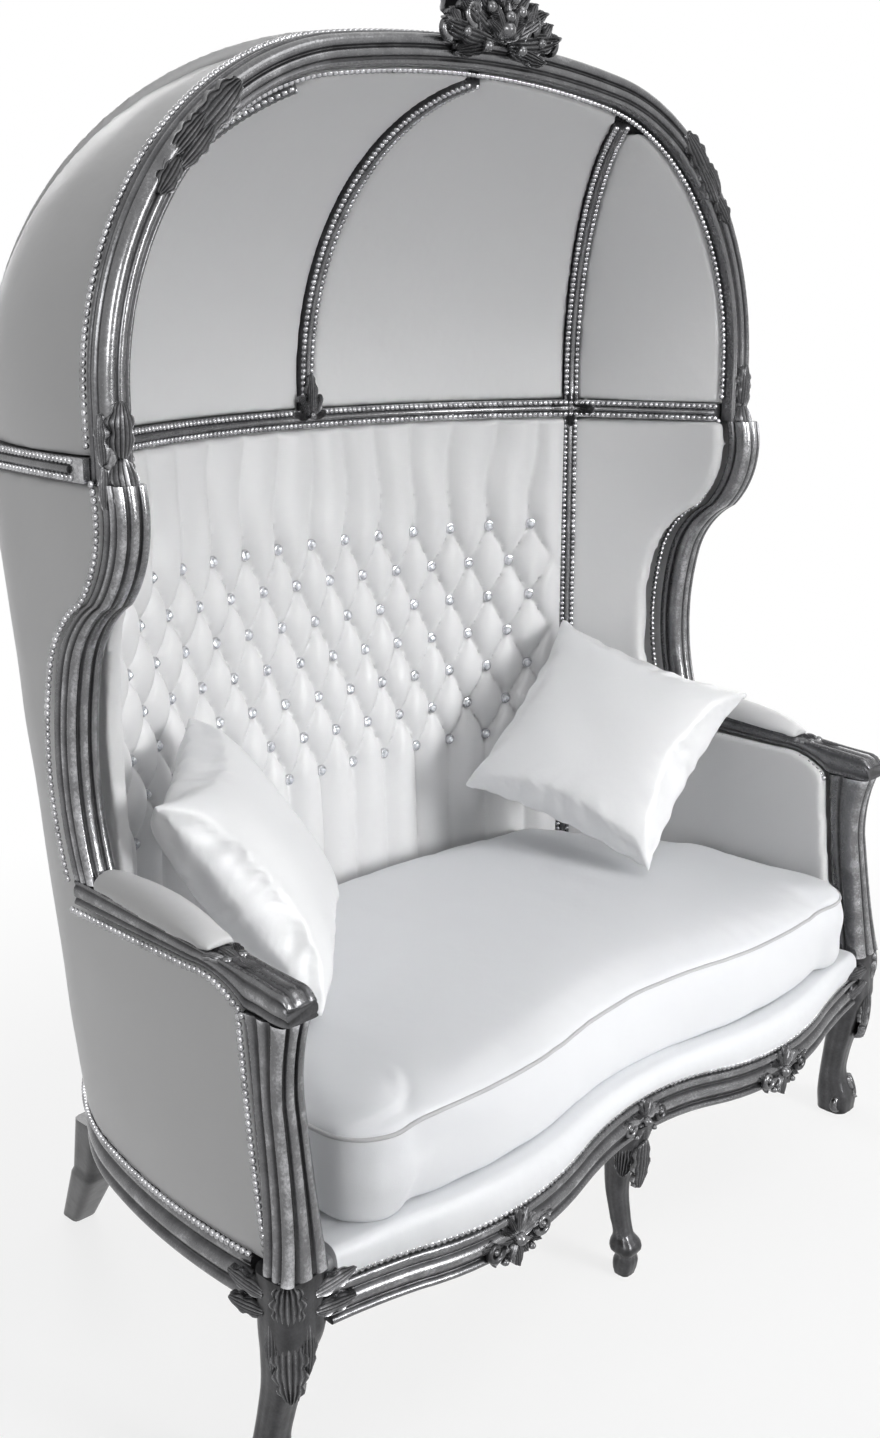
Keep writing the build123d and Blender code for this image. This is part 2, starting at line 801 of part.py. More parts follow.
def rounded_section(x, y, height, size):
    return Pos(x, y, height) * RectangleRounded(size, size, size * leg_corner_share)


def leg_loft(shares, x, y, size, out=1):
    sections = []
    for rise, scale, aside, behind in shares:
        spot_x = x + out * aside * seat_rail_bottom
        spot_y = y + behind * seat_rail_bottom
        sections.append(rounded_section(spot_x, spot_y, rise * seat_rail_bottom, size * scale))
    return loft(sections)


def make_front_leg():
    middle_x = leg_block_inner + leg_block_width / 2
    middle_y = leg_block_depth / 2 - leg_block_front
    block = box_between(
        (leg_block_inner, -leg_block_front, seat_rail_bottom),
        (leg_block_inner + leg_block_width, leg_block_depth - leg_block_front, seat_rail_top))
    leg = leg_loft(front_leg_shares, middle_x, middle_y, leg_block_width)
    return block + leg


def make_rear_leg():
    """Raked square leg, given with the spot of its dowel."""
    sections = []
    for rise, scale, x_share, y_share in rear_leg_shares:
        size = mix(rear_leg_foot, rear_leg_top, scale)
        sections.append(rounded_section(
            x_share * frame_half_width, y_share * canopy_depth, rise * seat_rail_bottom, size))
    top = rear_leg_shares[0]
    return loft(sections), top[2] * frame_half_width, top[3] * canopy_depth


def shell_outline(x, y, top, width, height):
    """Scalloped shell or spray, wide above and pointed below."""
    half = width / 2
    points = [(x - half * across, y, top - height * down) for across, down in shell_shares]
    points.append((x, y, top - height))
    points.extend((x + half * across, y, top - height * down) for across, down in reversed(shell_shares))
    return closed_face(curve_chain(points), arc(points[-1], (x, y, top), points[0]))


def make_carving(x, front, top, width, height, blank):
    face = shell_outline(x, -front - shell_proud, top, width, height)
    return whole(prism(face, (0, 1, 0), shell_proud * 2) - blank)


# Carved leaves, crest and rosettes
def lens_face(centre, along, across, length, width):
    """Pointed leaf outline from two arcs."""
    tip = centre + along * (length / 2)
    tail = centre - along * (length / 2)
    one = centre + across * (width / 2)
    two = centre - across * (width / 2)
    return Face(Wire([
        Edge.make_three_point_arc(tail, one, tip),
        Edge.make_three_point_arc(tip, two, tail)]))


def make_arch_leaf():
    joint = radians(arch_joint_angle)
    x, height = arch_point(arch_face_width / 2, joint)
    centre = Vector(x, -arch_front, height)
    along = Vector(-sin(joint), 0, cos(joint))
    across = Vector(cos(joint), 0, sin(joint))
    lower = lens_face(centre, along, across, leaf_length, leaf_width)
    upper = lens_face(centre, along, across, leaf_length * 0.8, leaf_width * 0.5)
    base = prism(lower, (0, -1, 0), leaf_thickness * 0.6)
    return base + prism(upper, (0, -1, 0), leaf_thickness)


def make_shoulder_leaf():
    foot = wing_front_shares[-1][0] * canopy_depth
    top = arch_spring_height + rail_proud
    middle = mix(canopy_rail_bottom, top, 0.5)
    x = frame_inner + fit_gap
    face = closed_face(
        line((x, -arch_front, canopy_rail_bottom), (x, foot, canopy_rail_bottom)),
        arc((x, foot, canopy_rail_bottom), (x, foot + rail_proud, middle), (x, -arch_front, top)),
        line((x, -arch_front, top), (x, -arch_front, canopy_rail_bottom)))
    return prism(face, (1, 0, 0), arch_face_width - 2 * fit_gap)


def make_crest(arch_top):
    half = crest_width / 2
    y = -crest_front

    def at(across, up):
        return (across * half, y, crest_bottom + up * crest_height)

    outline = [at(-x, z) for x, z in reversed(crest_shares[1:])]
    outline.extend(at(x, z) for x, z in crest_shares)
    face = closed_face(curve_chain(outline), arc(outline[-1], at(0, -0.05), outline[0]))
    slab = prism(face, (0, 1, 0), crest_front - crest_back)
    return whole(slab - arch_top)


def make_rosette(neighbours):
    """Four-pointed star that lies over the corner where rail, post and rib meet."""
    turn = radians(post_angle)
    plane = Plane(
        origin=(star_x, star_y, canopy_rail_middle),
        x_dir=(cos(turn), -sin(turn), 0),
        z_dir=(-sin(turn), -cos(turn), 0))
    points = []
    for i in range(8):
        reach = 1 if i % 2 == 0 else 0.36
        angle = i * pi / 4
        across = reach * cos(angle) * rosette_width / 2
        points.append((across, reach * sin(angle) * rosette_height / 2))
    star = make_face(Polyline(*points, close=True))
    blank = plane * (Pos(0, 0, -overrun) * extrude(star, 2 * overrun))
    low = canopy_rail_middle - rosette_height / 2
    outside = ring_hole(rail_proud, low, rosette_height)
    layer = outside - ring_hole(rail_proud + rosette_thickness, low, rosette_height)
    body = blank & layer
    for neighbour in neighbours:
        body = body - neighbour
    return whole(body)


def make_rib_foot():
    """Flared carving where the middle rib stands on the canopy rail."""
    y = bow_y(0) - rib_proud - rib_foot_thickness
    low = canopy_rail_top
    half = rib_foot_width / 2
    slim = rib_width / 2
    high = low + rib_foot_height
    left = [(-half, y, low), (-slim * 1.15, y, mix(low, high, 0.35)), (-slim, y, high)]
    right = [(slim, y, high), (slim * 1.15, y, mix(low, high, 0.35)), (half, y, low)]
    face = closed_face(arc(*left), line(left[2], right[0]), arc(*right), line(right[2], left[0]))
    return prism(face, (0, 1, 0), rib_foot_thickness - fit_gap)


# Seat
def make_seat_deck():
    """Stuffed platform that ends in front as a border down to the carved rail."""
    side_x = inner_side_points()[0][0] - deck_side_gap
    front, left, right = front_chain(seat_rail_top, border_setback)
    reach_x = right[0]
    rear = (cushion_rear_width, tuft_front(cushion_rear_width, deck_top) - tuft_depth, seat_rail_top)
    middle = (0, tuft_base_depth - tuft_depth, seat_rail_top)
    corner = (star_x - post_width, star_y - post_width, seat_rail_top)
    bend = (reach_x, -arch_front - overrun, seat_rail_top)

    def over(point):
        return (-point[0], point[1], point[2])

    outline = closed_face(
        front,
        line(right, bend),
        line(bend, corner),
        line(corner, rear),
        arc(rear, middle, over(rear)),
        line(over(rear), over(corner)),
        line(over(corner), over(bend)),
        line(over(bend), left))
    room = box_between((-side_x, -bow_front, seat_rail_bottom), (side_x, canopy_depth, deck_top))
    slab = prism(outline, (0, 0, 1), deck_thickness) & room
    low = apron_low_bow + apron_height
    border = front_band(low, seat_rail_top, border_setback, seat_rail_width)
    return whole(slab + (border & apron_band(apron_height + fit_gap, seat_rail_top)))


def cushion_wire(height, inset, spread=1):
    """Double-bowed plan of the seat cushion at one height."""
    front = bow_front - cushion_setback
    hollow = valley_front - cushion_setback
    corner_y = rail_end_front - cushion_setback
    side_x = cushion_half_width
    rear_y = tuft_front(cushion_rear_width, deck_top) - tuft_depth / 2

    def at(x, y):
        along = inset if x > 0 else -inset
        behind = inset if y > 0 else -inset
        return (x * spread - along, y * spread - behind, height)

    def over(point):
        return (-point[0], point[1], point[2])

    turn = at(bow_x / 2, -mix(hollow, front, 0.5))
    bow = at(bow_x, -front)
    swell = at(mix(bow_x, side_x, 0.60), -mix(front, corner_y, 0.40))
    shoulder = at(mix(bow_x, side_x, 0.95), -mix(front, corner_y, 1.10))
    side = at(side_x, -corner_y * 0.86)
    bend = at(side_x, -arch_front)
    corner = at(star_x - post_width, star_y - post_width)
    rear = at(cushion_rear_width, rear_y)
    return Wire([
        arc(over(side), over(shoulder), over(swell)),
        arc(over(swell), over(bow), over(turn)),
        arc(over(turn), (0, -hollow * spread + inset, height), turn),
        arc(turn, bow, swell),
        arc(swell, shoulder, side),
        line(side, bend),
        line(bend, corner),
        line(corner, rear),
        arc(rear, (0, (tuft_base_depth - tuft_depth) * spread - inset, height), over(rear)),
        line(over(rear), over(corner)),
        line(over(corner), over(bend)),
        line(over(bend), over(side))])


def make_seat_cushion():
    low = deck_top + fit_gap
    welt = low + cushion_height
    pull = cushion_crown * 0.5
    boxing = Solid.make_loft([
        cushion_wire(low, pull),
        cushion_wire(mix(low, welt, 0.5), 0),
        cushion_wire(welt, pull * 0.3)])
    crown = Solid.make_loft([
        cushion_wire(welt, pull * 0.3),
        cushion_wire(welt + cushion_crown * 0.7, pull * 0.3, 0.86),
        cushion_wire(welt + cushion_crown, pull * 0.3, 0.55)])
    return boxing + crown


def make_pillow():
    """Square pillow with a crown, flat at its four seams and drawn in between its corners."""
    half = pillow_size / 2
    sections = []
    for share, thickness in pillow_shares:
        draw = pillow_draw * (1 - share ** 2)
        reach = half - draw
        lift = pillow_thickness * thickness / 2
        rim = pillow_edge * 0.25
        x = share * half
        sections.append(Wire([
            line((x, reach, -rim), (x, reach, rim)),
            arc((x, reach, rim), (x, 0, lift), (x, -reach, rim)),
            line((x, -reach, rim), (x, -reach, -rim)),
            arc((x, -reach, -rim), (x, 0, -lift), (x, reach, -rim))]))
    body = Solid.make_loft(sections)
    radius = (half ** 2 + pillow_draw ** 2) / (2 * pillow_draw)
    tool = Cylinder(radius, pillow_thickness)
    for side in (1, -1):
        body = body - Pos(side * (half - pillow_draw + radius), 0, 0) * tool
    return whole(body)


def pillow_plane(origin, along, facing):
    x_share, y_share, z_share = origin
    spot = (x_share * frame_half_width, y_share * canopy_depth, z_share * canopy_rail_bottom)
    return Plane(origin=spot, x_dir=along, z_dir=facing)


# Tufted back: an egg-crate of puffs between staggered rows of buttons, with pleats above and below
def tuft_front(x, height):
    """Mean front of the tufted back, bowed flatter at the seat than at the canopy rail."""
    share = (height - deck_top) / (canopy_rail_bottom - deck_top)
    centre = mix(tuft_base_depth, inner_depth, share)
    return centre - (centre - star_y) * abs(x / star_x) ** mix(*bow_power_shares, share)


def tuft_levels():
    bottom_row = tuft_top_height - (tuft_rows - 1) * tuft_row_pitch
    pleat_top = mix(tuft_top_height, canopy_rail_bottom, 0.45)
    levels = [(deck_top + fit_gap, pleat_depth, 0), (mix(deck_top, bottom_row, 0.6), pleat_depth, 0)]
    for row in range(tuft_rows):
        levels.append((bottom_row + row * tuft_row_pitch, tuft_depth, row % 2))
    levels.append((pleat_top, pleat_depth, 0))
    levels.append((canopy_rail_bottom - fit_gap, pleat_depth / 3, 0))
    return levels


def tuft_rear(x, height):
    share = wall_share(height)
    edge_x = mix(outer_low_shares[4][0], outer_high_shares[4][0], share) * frame_half_width
    edge_y = mix(outer_low_shares[4][1], outer_high_shares[4][1], share) * canopy_depth
    middle_y = mix(outer_low_shares[5][1], outer_high_shares[5][1], share) * canopy_depth
    return middle_y - (middle_y - edge_y) * (x / edge_x) ** 2 - outer_thickness - tuft_rear_gap


def make_tufted_back(post_rooms):
    half_pitch = tuft_pitch / 2
    edge = star_x - post_width * 0.4
    wires = []
    for height, depth, phase in tuft_levels():
        points = []
        for column in range(-tuft_columns, tuft_columns + 1):
            x = column * half_pitch
            sunk = (column + phase) % 2 == 0
            relief = depth * 0.4 if sunk else -depth * 0.6
            if abs(column) == tuft_columns:
                x = edge * column / tuft_columns
                relief = 0
            points.append((x, tuft_front(x, height) + relief, height))
        for share in (1, 0.5, 0, -0.5, -1):
            points.append((edge * share, tuft_rear(edge * share, height), height))
        wires.append(Wire.make_polygon([Vector(*point) for point in points]))
    pad = Solid.make_loft(wires, True)
    for room in post_rooms:
        pad = whole(pad - room)
    return pad


def button_spots():
    """Dimples of the tufting, each with the turn of the back there in degrees."""
    bottom_row = tuft_top_height - (tuft_rows - 1) * tuft_row_pitch
    spots = []
    for row in range(tuft_rows):
        height = bottom_row + row * tuft_row_pitch
        for column in range(-tuft_columns + 1, tuft_columns):
            if (column + row % 2) % 2 == 0:
                x = column * tuft_pitch / 2
                rise = tuft_front(x - button_radius, height) - tuft_front(x + button_radius, height)
                turn = degrees(atan2(rise, 2 * button_radius))
                spots.append((x, tuft_front(x, height) + tuft_depth * 0.4 - fit_gap, height, turn))
    return spots


def make_buttons():
    """Cut-crystal buttons: a pointed back that sits in its dimple under a faceted crown."""
    back = Cone(fit_gap, button_radius, button_sink, align=(Align.CENTER, Align.CENTER, Align.MIN))
    crown = Pos(0, 0, button_sink) * Cone(
        button_radius, button_radius * 0.5, button_crown, align=(Align.CENTER, Align.CENTER, Align.MIN))
    button = back + crown
    buttons = []
    for x, y, height, turn in button_spots():
        buttons.append(Pos(x, y, height) * Rot(0, 0, -turn) * Rot(90, 0, 0) * button)
    return Compound(children=buttons)


# Webbing and blocks inside the seat
def make_webbing(opening):
    strips = []
    low = seat_rail_top - webbing_drop
    pitch = webbing_width * 2.2
    for i in range(-2, 3):
        y = i * pitch
        strips.append(box_between(
            (-frame_half_width, y, low), (frame_half_width, y + webbing_width, low + webbing_thickness)))
    for i in range(-4, 5):
        x = i * pitch - webbing_width / 2
        strips.append(box_between(
            (x, -bow_front, low + webbing_thickness),
            (x + webbing_width, canopy_depth, low + 2 * webbing_thickness)))
    solids = []
    for strip in strips:
        solids.append(whole(strip & opening))
    return Compound(children=solids)


def make_corner_blocks(opening):
    size = corner_block_size
    low = seat_rail_bottom + fit_gap
    wide = frame_half_width
    blocks = []
    for side in (1, -1):
        front = polygon([
            (side * wide, -canopy_depth, low),
            (side * (wide - size * 2.2), -canopy_depth, low),
            (side * wide, -canopy_depth + size * 3.2, low)])
        rear = polygon([
            (side * wide, canopy_depth, low),
            (side * (star_x - size * 2.6), canopy_depth, low),
            (side * wide, star_y - size * 1.9, low)])
        for face in (front, rear):
            block = prism(face, (0, 0, 1), corner_block_height)
            blocks.append(whole(block & opening))
    return Compound(children=blocks)


def main():
    parts = {}
    arch_leg = make_arch_leg()
    arch_top = make_arch_top()
    wing = make_wing_frame()
    post = make_arm_post()
    arm_rail, _ = make_arm_rail()
    front_leg = make_front_leg()
    rear_leg, rear_x, rear_y = make_rear_leg()
    front_rail = make_front_rail()
    side_rail, back_rail, seat_hole = make_seat_ring()
    centre_leg = whole(leg_loft(centre_leg_shares, 0, -centre_leg_front, centre_leg_top) - front_rail)
    back_post = make_back_post()
    post_room = make_back_post(fit_gap)
    ring_back, ring_side = make_canopy_ring()

    # Dowels and the holes that take them
    peg = Cylinder(dowel_diameter / 2, dowel_length)
    hole = Cylinder(dowel_diameter / 2 + fit_gap, dowel_length + 2 * fit_gap)
    frame_x = frame_inner + arch_face_width / 2
    post_y = (post_front_shares[0][0] + post_rear_shares[0][0]) / 2 * canopy_depth
    post_top_y = (post_front_shares[-1][0] + post_rear_shares[-1][0]) / 2 * canopy_depth
    wing_foot_y = wing_front_shares[0][0] * canopy_depth + wing_depth / 2
    wing_top_y = (arch_back - arch_front) / 2
    joint = radians(arch_joint_angle)
    joint_x, joint_z = arch_point(arch_face_width / 2, joint)
    seats = {
        "post_foot": Location((frame_x, post_y, seat_rail_top)),
        "post_top": Location((frame_x, post_top_y, post_top_height)),
        "wing_foot": Location((frame_x, wing_foot_y, arm_joint_height)),
        "wing_top": Location((frame_x, wing_top_y, canopy_rail_bottom)),
        "arch": Pos(joint_x, wing_top_y, joint_z) * Rot(0, -arch_joint_angle, 0),
        "rear": Location((rear_x, rear_y, seat_rail_bottom)),
        "centre": Location((0, -centre_leg_front, seat_rail_bottom))}
    front_leg = front_leg - seats["post_foot"] * hole
    post = post - seats["post_foot"] * hole - seats["post_top"] * hole
    arm_rail = arm_rail - seats["post_top"] * hole - seats["wing_foot"] * hole
    wing = wing - seats["wing_foot"] * hole - seats["wing_top"] * hole
    arch_leg = arch_leg - seats["wing_top"] * hole - seats["arch"] * hole
    arch_top = arch_top - seats["arch"] * hole - mirrored(Part() + seats["arch"] * hole)
    side_rail = side_rail - seats["rear"] * hole
    rear_leg = rear_leg - seats["rear"] * hole
    front_rail = whole(front_rail - seats["centre"] * hole - front_leg - mirrored(front_leg))
    centre_leg = centre_leg - seats["centre"] * hole
    pegs = []
    for name, seat in seats.items():
        dowel = Part() + seat * peg
        pegs.append(dowel)
        if name != "centre":
            pegs.append(mirrored(dowel))
    parts["frame_dowels"] = Compound(children=[solid for dowel in pegs for solid in dowel.solids()])

    # Seat
    band = front_band(seat_rail_bottom, seat_rail_top, 0, seat_rail_width)
    opening = seat_hole - band - front_leg - mirrored(front_leg)
    inside_low = (-frame_half_width, -valley_front, seat_rail_bottom)
    inside_high = (frame_half_width, canopy_depth, seat_rail_top)
    opening = whole(opening & box_between(inside_low, inside_high))
    parts["seat_webbing"] = make_webbing(opening)
    parts["corner_blocks"] = make_corner_blocks(opening)
    parts["seat_deck"] = make_seat_deck()
    parts["seat_cushion"] = make_seat_cushion()

    # Frame pieces of both sides
    region = side_region(fit_gap)
    outer_wall = make_outer_wall()
    split = outer_low_shares[4][0] * frame_half_width
    wide = frame_half_width + overrun
    far = canopy_depth + overrun
    low_room = (split + fit_gap / 2, -canopy_depth, seat_rail_top)
    side_wall = whole(outer_wall & box_between(low_room, (wide, far, canopy_rail_bottom)))
    pairs = {
        "arch_leg": arch_leg,
        "wing_frame": wing,
        "arm_post": post,
        "arm_rail": arm_rail,
        "arm_pad": make_arm_pad(),
        "front_leg": front_leg,
        "rear_leg": rear_leg,
        "side_rail": side_rail,
        "back_post": back_post,
        "canopy_rail": ring_side,
        "side_rib": make_rib(side_meridian(0)),
        "inner_side_panel": make_inner_side_panel(region, post_room),
        "outer_side_panel": whole(side_wall & region),
        "inner_dome_side": make_inner_side_gore(),
        "inner_dome_centre": make_inner_centre_gore(),
        "outer_dome_side": make_outer_side_gore(),
        "outer_dome_centre": make_outer_centre_gore()}
    for name, shape in pairs.items():
        parts[name + "_right"] = shape
        parts[name + "_left"] = mirrored(Part() + shape)
    parts["outer_back_panel"] = whole(outer_wall & box_between(
        (-split + fit_gap / 2, 0, seat_rail_top), (split - fit_gap / 2, far, canopy_rail_bottom)))
    parts["arch_top"] = arch_top
    parts["canopy_rail_back"] = ring_back
    parts["centre_rib"] = make_rib(centre_meridian(0, 0))
    parts["front_rail"] = front_rail
    parts["back_rail"] = back_rail
    parts["centre_leg"] = centre_leg
    parts["tufted_back"] = make_tufted_back([post_room, mirrored(Part() + post_room)])
    parts["crystal_buttons"] = make_buttons()

    # Carvings
    leaf = Part() + make_arch_leaf()
    shoulder = Part() + make_shoulder_leaf()
    rosette = Part() + make_rosette([back_post, pairs["side_rib"]])
    shell_top = apron_low_bow + apron_height - rail_proud
    shell = Part() + make_carving(bow_x, bow_front, shell_top, shell_width, shell_height, front_rail)
    parts["arch_leaves"] = Compound(children=[*leaf.solids(), *mirrored(leaf).solids()])
    parts["shoulder_leaves"] = Compound(children=[*shoulder.solids(), *mirrored(shoulder).solids()])
    parts["star_rosettes"] = Compound(children=[*rosette.solids(), *mirrored(rosette).solids()])
    parts["rail_shells"] = Compound(children=[*shell.solids(), *mirrored(shell).solids()])
    spray_top = apron_low_middle + apron_height - rail_proud
    parts["rail_centre_carving"] = make_carving(
        0, valley_front, spray_top, centre_carving_width, shell_height,
        front_rail + centre_leg + seats["centre"] * hole)
    parts["rib_foot_carving"] = make_rib_foot()
    parts["crest"] = make_crest(arch_top)

    # Throw pillows, leaning in the corners of the seat
    pillow = make_pillow()
    parts["throw_pillow_left"] = pillow_plane(*left_pillow_shares) * pillow
    parts["throw_pillow_right"] = pillow_plane(*right_pillow_shares) * pillow

    # The origin stands midway between the front and the back of the whole
    shift = Location((0, -plan_shift, 0))
    for name, shape in parts.items():
        solids = [solid.moved(shift) for solid in shape.solids()]
        placed = solids[0] if len(solids) == 1 else Compound(children=solids)
        export_step(placed, f"parts/{name}.step")


main()
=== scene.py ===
import bpy
from math import atan2, cos, exp, hypot, pi, radians, sin, sqrt
from mathutils import Matrix, Vector, noise
from mathutils.bvhtree import BVHTree
from mathutils.kdtree import KDTree


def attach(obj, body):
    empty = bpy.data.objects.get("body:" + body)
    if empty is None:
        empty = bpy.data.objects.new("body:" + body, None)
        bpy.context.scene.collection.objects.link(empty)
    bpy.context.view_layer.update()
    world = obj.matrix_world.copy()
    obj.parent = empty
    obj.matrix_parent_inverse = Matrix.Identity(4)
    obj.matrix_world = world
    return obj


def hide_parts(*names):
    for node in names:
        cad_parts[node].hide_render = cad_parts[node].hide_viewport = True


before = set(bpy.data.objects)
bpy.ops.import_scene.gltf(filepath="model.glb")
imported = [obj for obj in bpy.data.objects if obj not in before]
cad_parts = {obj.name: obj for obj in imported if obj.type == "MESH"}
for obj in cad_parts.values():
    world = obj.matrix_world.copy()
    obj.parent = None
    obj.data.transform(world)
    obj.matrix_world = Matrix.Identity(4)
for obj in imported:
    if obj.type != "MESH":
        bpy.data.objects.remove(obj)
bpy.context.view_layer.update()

# Sizes in millimetres, in a plan whose front is at negative y.
# Its origin lies plan_shift behind the origin of the frame.
plan_shift = 27.5
fit_gap = 0.3
frame_half_width = 668
canopy_depth = 455
arch_face_width = 45
arch_front = 35
arch_back = -1
arch_spring_height = 1340
arch_top_height = 1805
arch_shoulder_radius = 448
frame_inner = frame_half_width - arch_face_width
canopy_rail_bottom = 1241
canopy_rail_top = 1271
dome_spring_height = 1313
star_x = 500
star_y = 237
inner_depth = 380
side_rib_top_x = 330
rib_width = 26
inner_proud = 10
seat_rail_top = 326
seat_rail_bottom = 262
bow_x = 322
bow_front = 386
valley_front = 350
rail_end_front = 345
rail_end_x = 616
arm_joint_height = 718
arm_tip_height = 688
arm_tip_reach = 335
post_top_height = 648
deck_top = 341
tuft_pitch = 73
tuft_row_pitch = 65
tuft_rows = 7
tuft_columns = 13
tuft_top_height = 1048
tuft_base_depth = 345
tuft_edge = 488.8
wing_depth = 44
pad_gap = 11
nail_radius = 4.7
nail_pitch = 9.6
welt_height = 474
welt_radius = 3.0


def metres(point):
    """A point of the millimetre plan in the frame's metres."""
    return Vector((point[0], point[1] - plan_shift, point[2])) * 0.001


def mix(low, high, share):
    """A value between two others."""
    return low + (high - low) * share


def step_share(low, high, value):
    """How far a value is between two others, eased at both ends."""
    share = min(max((value - low) / (high - low), 0), 1)
    return share * share * (3 - 2 * share)


# Finishes
white = (1, 1, 1, 1)


class Signal:
    """A shader socket that takes part in sums."""
    def __init__(self, finish, socket):
        self.finish = finish
        self.socket = socket

    def math(self, operation, first, second):
        return self.finish.node("ShaderNodeMath", {"operation": operation}, {0: first, 1: second})

    def __add__(self, other):
        return self.math("ADD", self, other)

    def __sub__(self, other):
        return self.math("SUBTRACT", self, other)

    def __rsub__(self, other):
        return self.math("SUBTRACT", other, self)

    def __mul__(self, other):
        return self.math("MULTIPLY", self, other)

    __radd__ = __add__
    __rmul__ = __mul__

    def held(self):
        """The same value, kept between nought and one."""
        return self.finish.node("ShaderNodeClamp", {}, {"Value": self})


class Finish:
    """A material, or the world, and the one way its nodes are made."""
    def __init__(self, name, world=None):
        self.material = world or bpy.data.materials.new(name)
        self.material.use_nodes = True
        self.tree = self.material.node_tree
        self.tree.nodes.clear()

    def node(self, kind, settings, sockets, output=0):
        made = self.tree.nodes.new(kind)
        for name, value in settings.items():
            if name == "stops":
                ramp = made.color_ramp
                while len(ramp.elements) < len(value):
                    ramp.elements.new(1)
                for element, (spot, colour) in zip(ramp.elements, value):
                    element.position = spot
                    element.color = (*colour, 1)
            else:
                setattr(made, name, value)
        for name, value in sockets.items():
            if isinstance(value, Signal):
                self.tree.links.new(value.socket, made.inputs[name])
            else:
                made.inputs[name].default_value = value
        return Signal(self, made.outputs[output]) if made.outputs else None

    def place(self, stretch=(1, 1, 1)):
        spot = self.node("ShaderNodeTexCoord", {}, {}, "Object")
        return self.node("ShaderNodeVectorMath", {"operation": "MULTIPLY"}, {0: spot, 1: stretch})

    def cloud(self, scale, detail=3, stretch=(1, 1, 1)):
        sockets = {"Vector": self.place(stretch), "Scale": scale, "Detail": detail}
        return self.node("ShaderNodeTexNoise", {}, sockets)

    def cells(self, scale, feature="DISTANCE_TO_EDGE"):
        sockets = {"Vector": self.place(), "Scale": scale}
        return self.node("ShaderNodeTexVoronoi", {"feature": feature}, sockets)

    def weave(self, direction, scale):
        sockets = {"Vector": self.place(), "Scale": scale}
        return self.node("ShaderNodeTexWave", {"bands_direction": direction}, sockets)

    def studio_rays(self):
        """One for the rays that meet the plain white studio, and nought for those that carry its light."""
        kinds = ("Is Camera Ray", "Is Glossy Ray", "Is Transmission Ray")
        camera, glossy, through = (self.node("ShaderNodeLightPath", {}, {}, kind) for kind in kinds)
        return (camera + glossy + through).held()

    def surface(self, shader, end="ShaderNodeOutputMaterial"):
        self.node(end, {}, {"Surface": shader})
        return self.material

    def relief(self):
        """Painted shading kept on the mesh: below nought for painted shade in a groove, fold or seam, above
        it for a painted highlight on an edge.
        """
        return self.node("ShaderNodeAttribute", {"attribute_name": "relief"}, {}, "Fac")

    # Pointiness, which the silver leaf turns into painted highlight on edges and painted shade in hollows.
    def edge(self):
        return self.node("ShaderNodeNewGeometry", {}, {}, "Pointiness")

    def ramp(self, share, stops):
        return self.node("ShaderNodeValToRGB", {"stops": stops}, {"Fac": share})

    def bump(self, height, distance, strength=1, below=None):
        sockets = {"Height": height, "Distance": distance, "Strength": strength}
        if below:
            sockets["Normal"] = below
        return self.node("ShaderNodeBump", {}, sockets)


def principled(finish, sockets):
    """The usual surface with these sockets set."""
    return finish.surface(finish.node("ShaderNodeBsdfPrincipled", {}, sockets))


def grey(level, blue=0.0):
    """A grey with a little more blue."""
    return (level, level, level + blue)


def silver_leaf(name, depth, lift=0.0):
    """Burnished silver leaf over carved wood, with painted shade in its grooves and hollows and a painted
    highlight on its edges and ridges.
    """
    finish = Finish(name)
    patches = finish.cloud(38, 4)
    specks = finish.cloud(260, 3)
    # Painted light: the stored shading value and the pointiness darken grooves and hollows as painted shade
    # and brighten edges and ridges as painted highlight.
    tone_with_painted_light = 0.50 + lift + finish.relief() * 0.62 + (finish.edge() - 0.5) * 2.2
    tone_with_painted_light = (tone_with_painted_light + (patches - 0.5) * 0.34 + (specks - 0.5) * 0.22).held()
    colour = finish.ramp(tone_with_painted_light, [
        (0, grey(0.008, 0.001)), (0.30, grey(0.022 * depth, 0.001 * depth)),
        (0.55, grey(0.066 * depth, 0.003 * depth)), (0.78, grey(0.19, 0.005)), (1, grey(0.62, 0.02))])
    leaf = finish.bump(patches, 0.0012, 0.5)
    return principled(finish, {
        "Base Color": colour,
        "Metallic": (tone_with_painted_light * 0.5 + 0.48).held(),
        "Roughness": 0.34 - tone_with_painted_light * 0.20 + specks * 0.12,
        "Normal": finish.bump(specks, 0.0005, 0.45, leaf)})


def faux_leather(name, colour, soil_and_shade_colour, gloss, grain=620):
    """Soft coated leather: fine grain, random slack patches and a little soiling, with painted shade in its
    folds and along its seams.
    """
    finish = Finish(name)
    slack = finish.cloud(7, 3)
    soil = finish.cloud(23, 4)
    pores = finish.cells(grain)
    # The stored shading value darkens folds and seams towards the darker colour as painted shade; the clouds
    # vary the tone at random.
    share = ((slack - 0.5) * 0.30 + (soil - 0.5) * 0.22 + 0.12 - finish.relief() * 1.4).held()
    tint_with_painted_shade = finish.ramp(share, [(0, colour), (0.25, colour), (1, soil_and_shade_colour)])
    wave = finish.bump(finish.cloud(15, 2), 0.004, 0.22)
    crumple = finish.bump(finish.cloud(70, 4), 0.0011, 0.30, wave)
    return principled(finish, {
        "Base Color": tint_with_painted_shade,
        "Roughness": gloss + (soil - 0.5) * 0.14,
        "Specular IOR Level": 0.42,
        "Normal": finish.bump(pores, 0.00035, 0.5, crumple)})


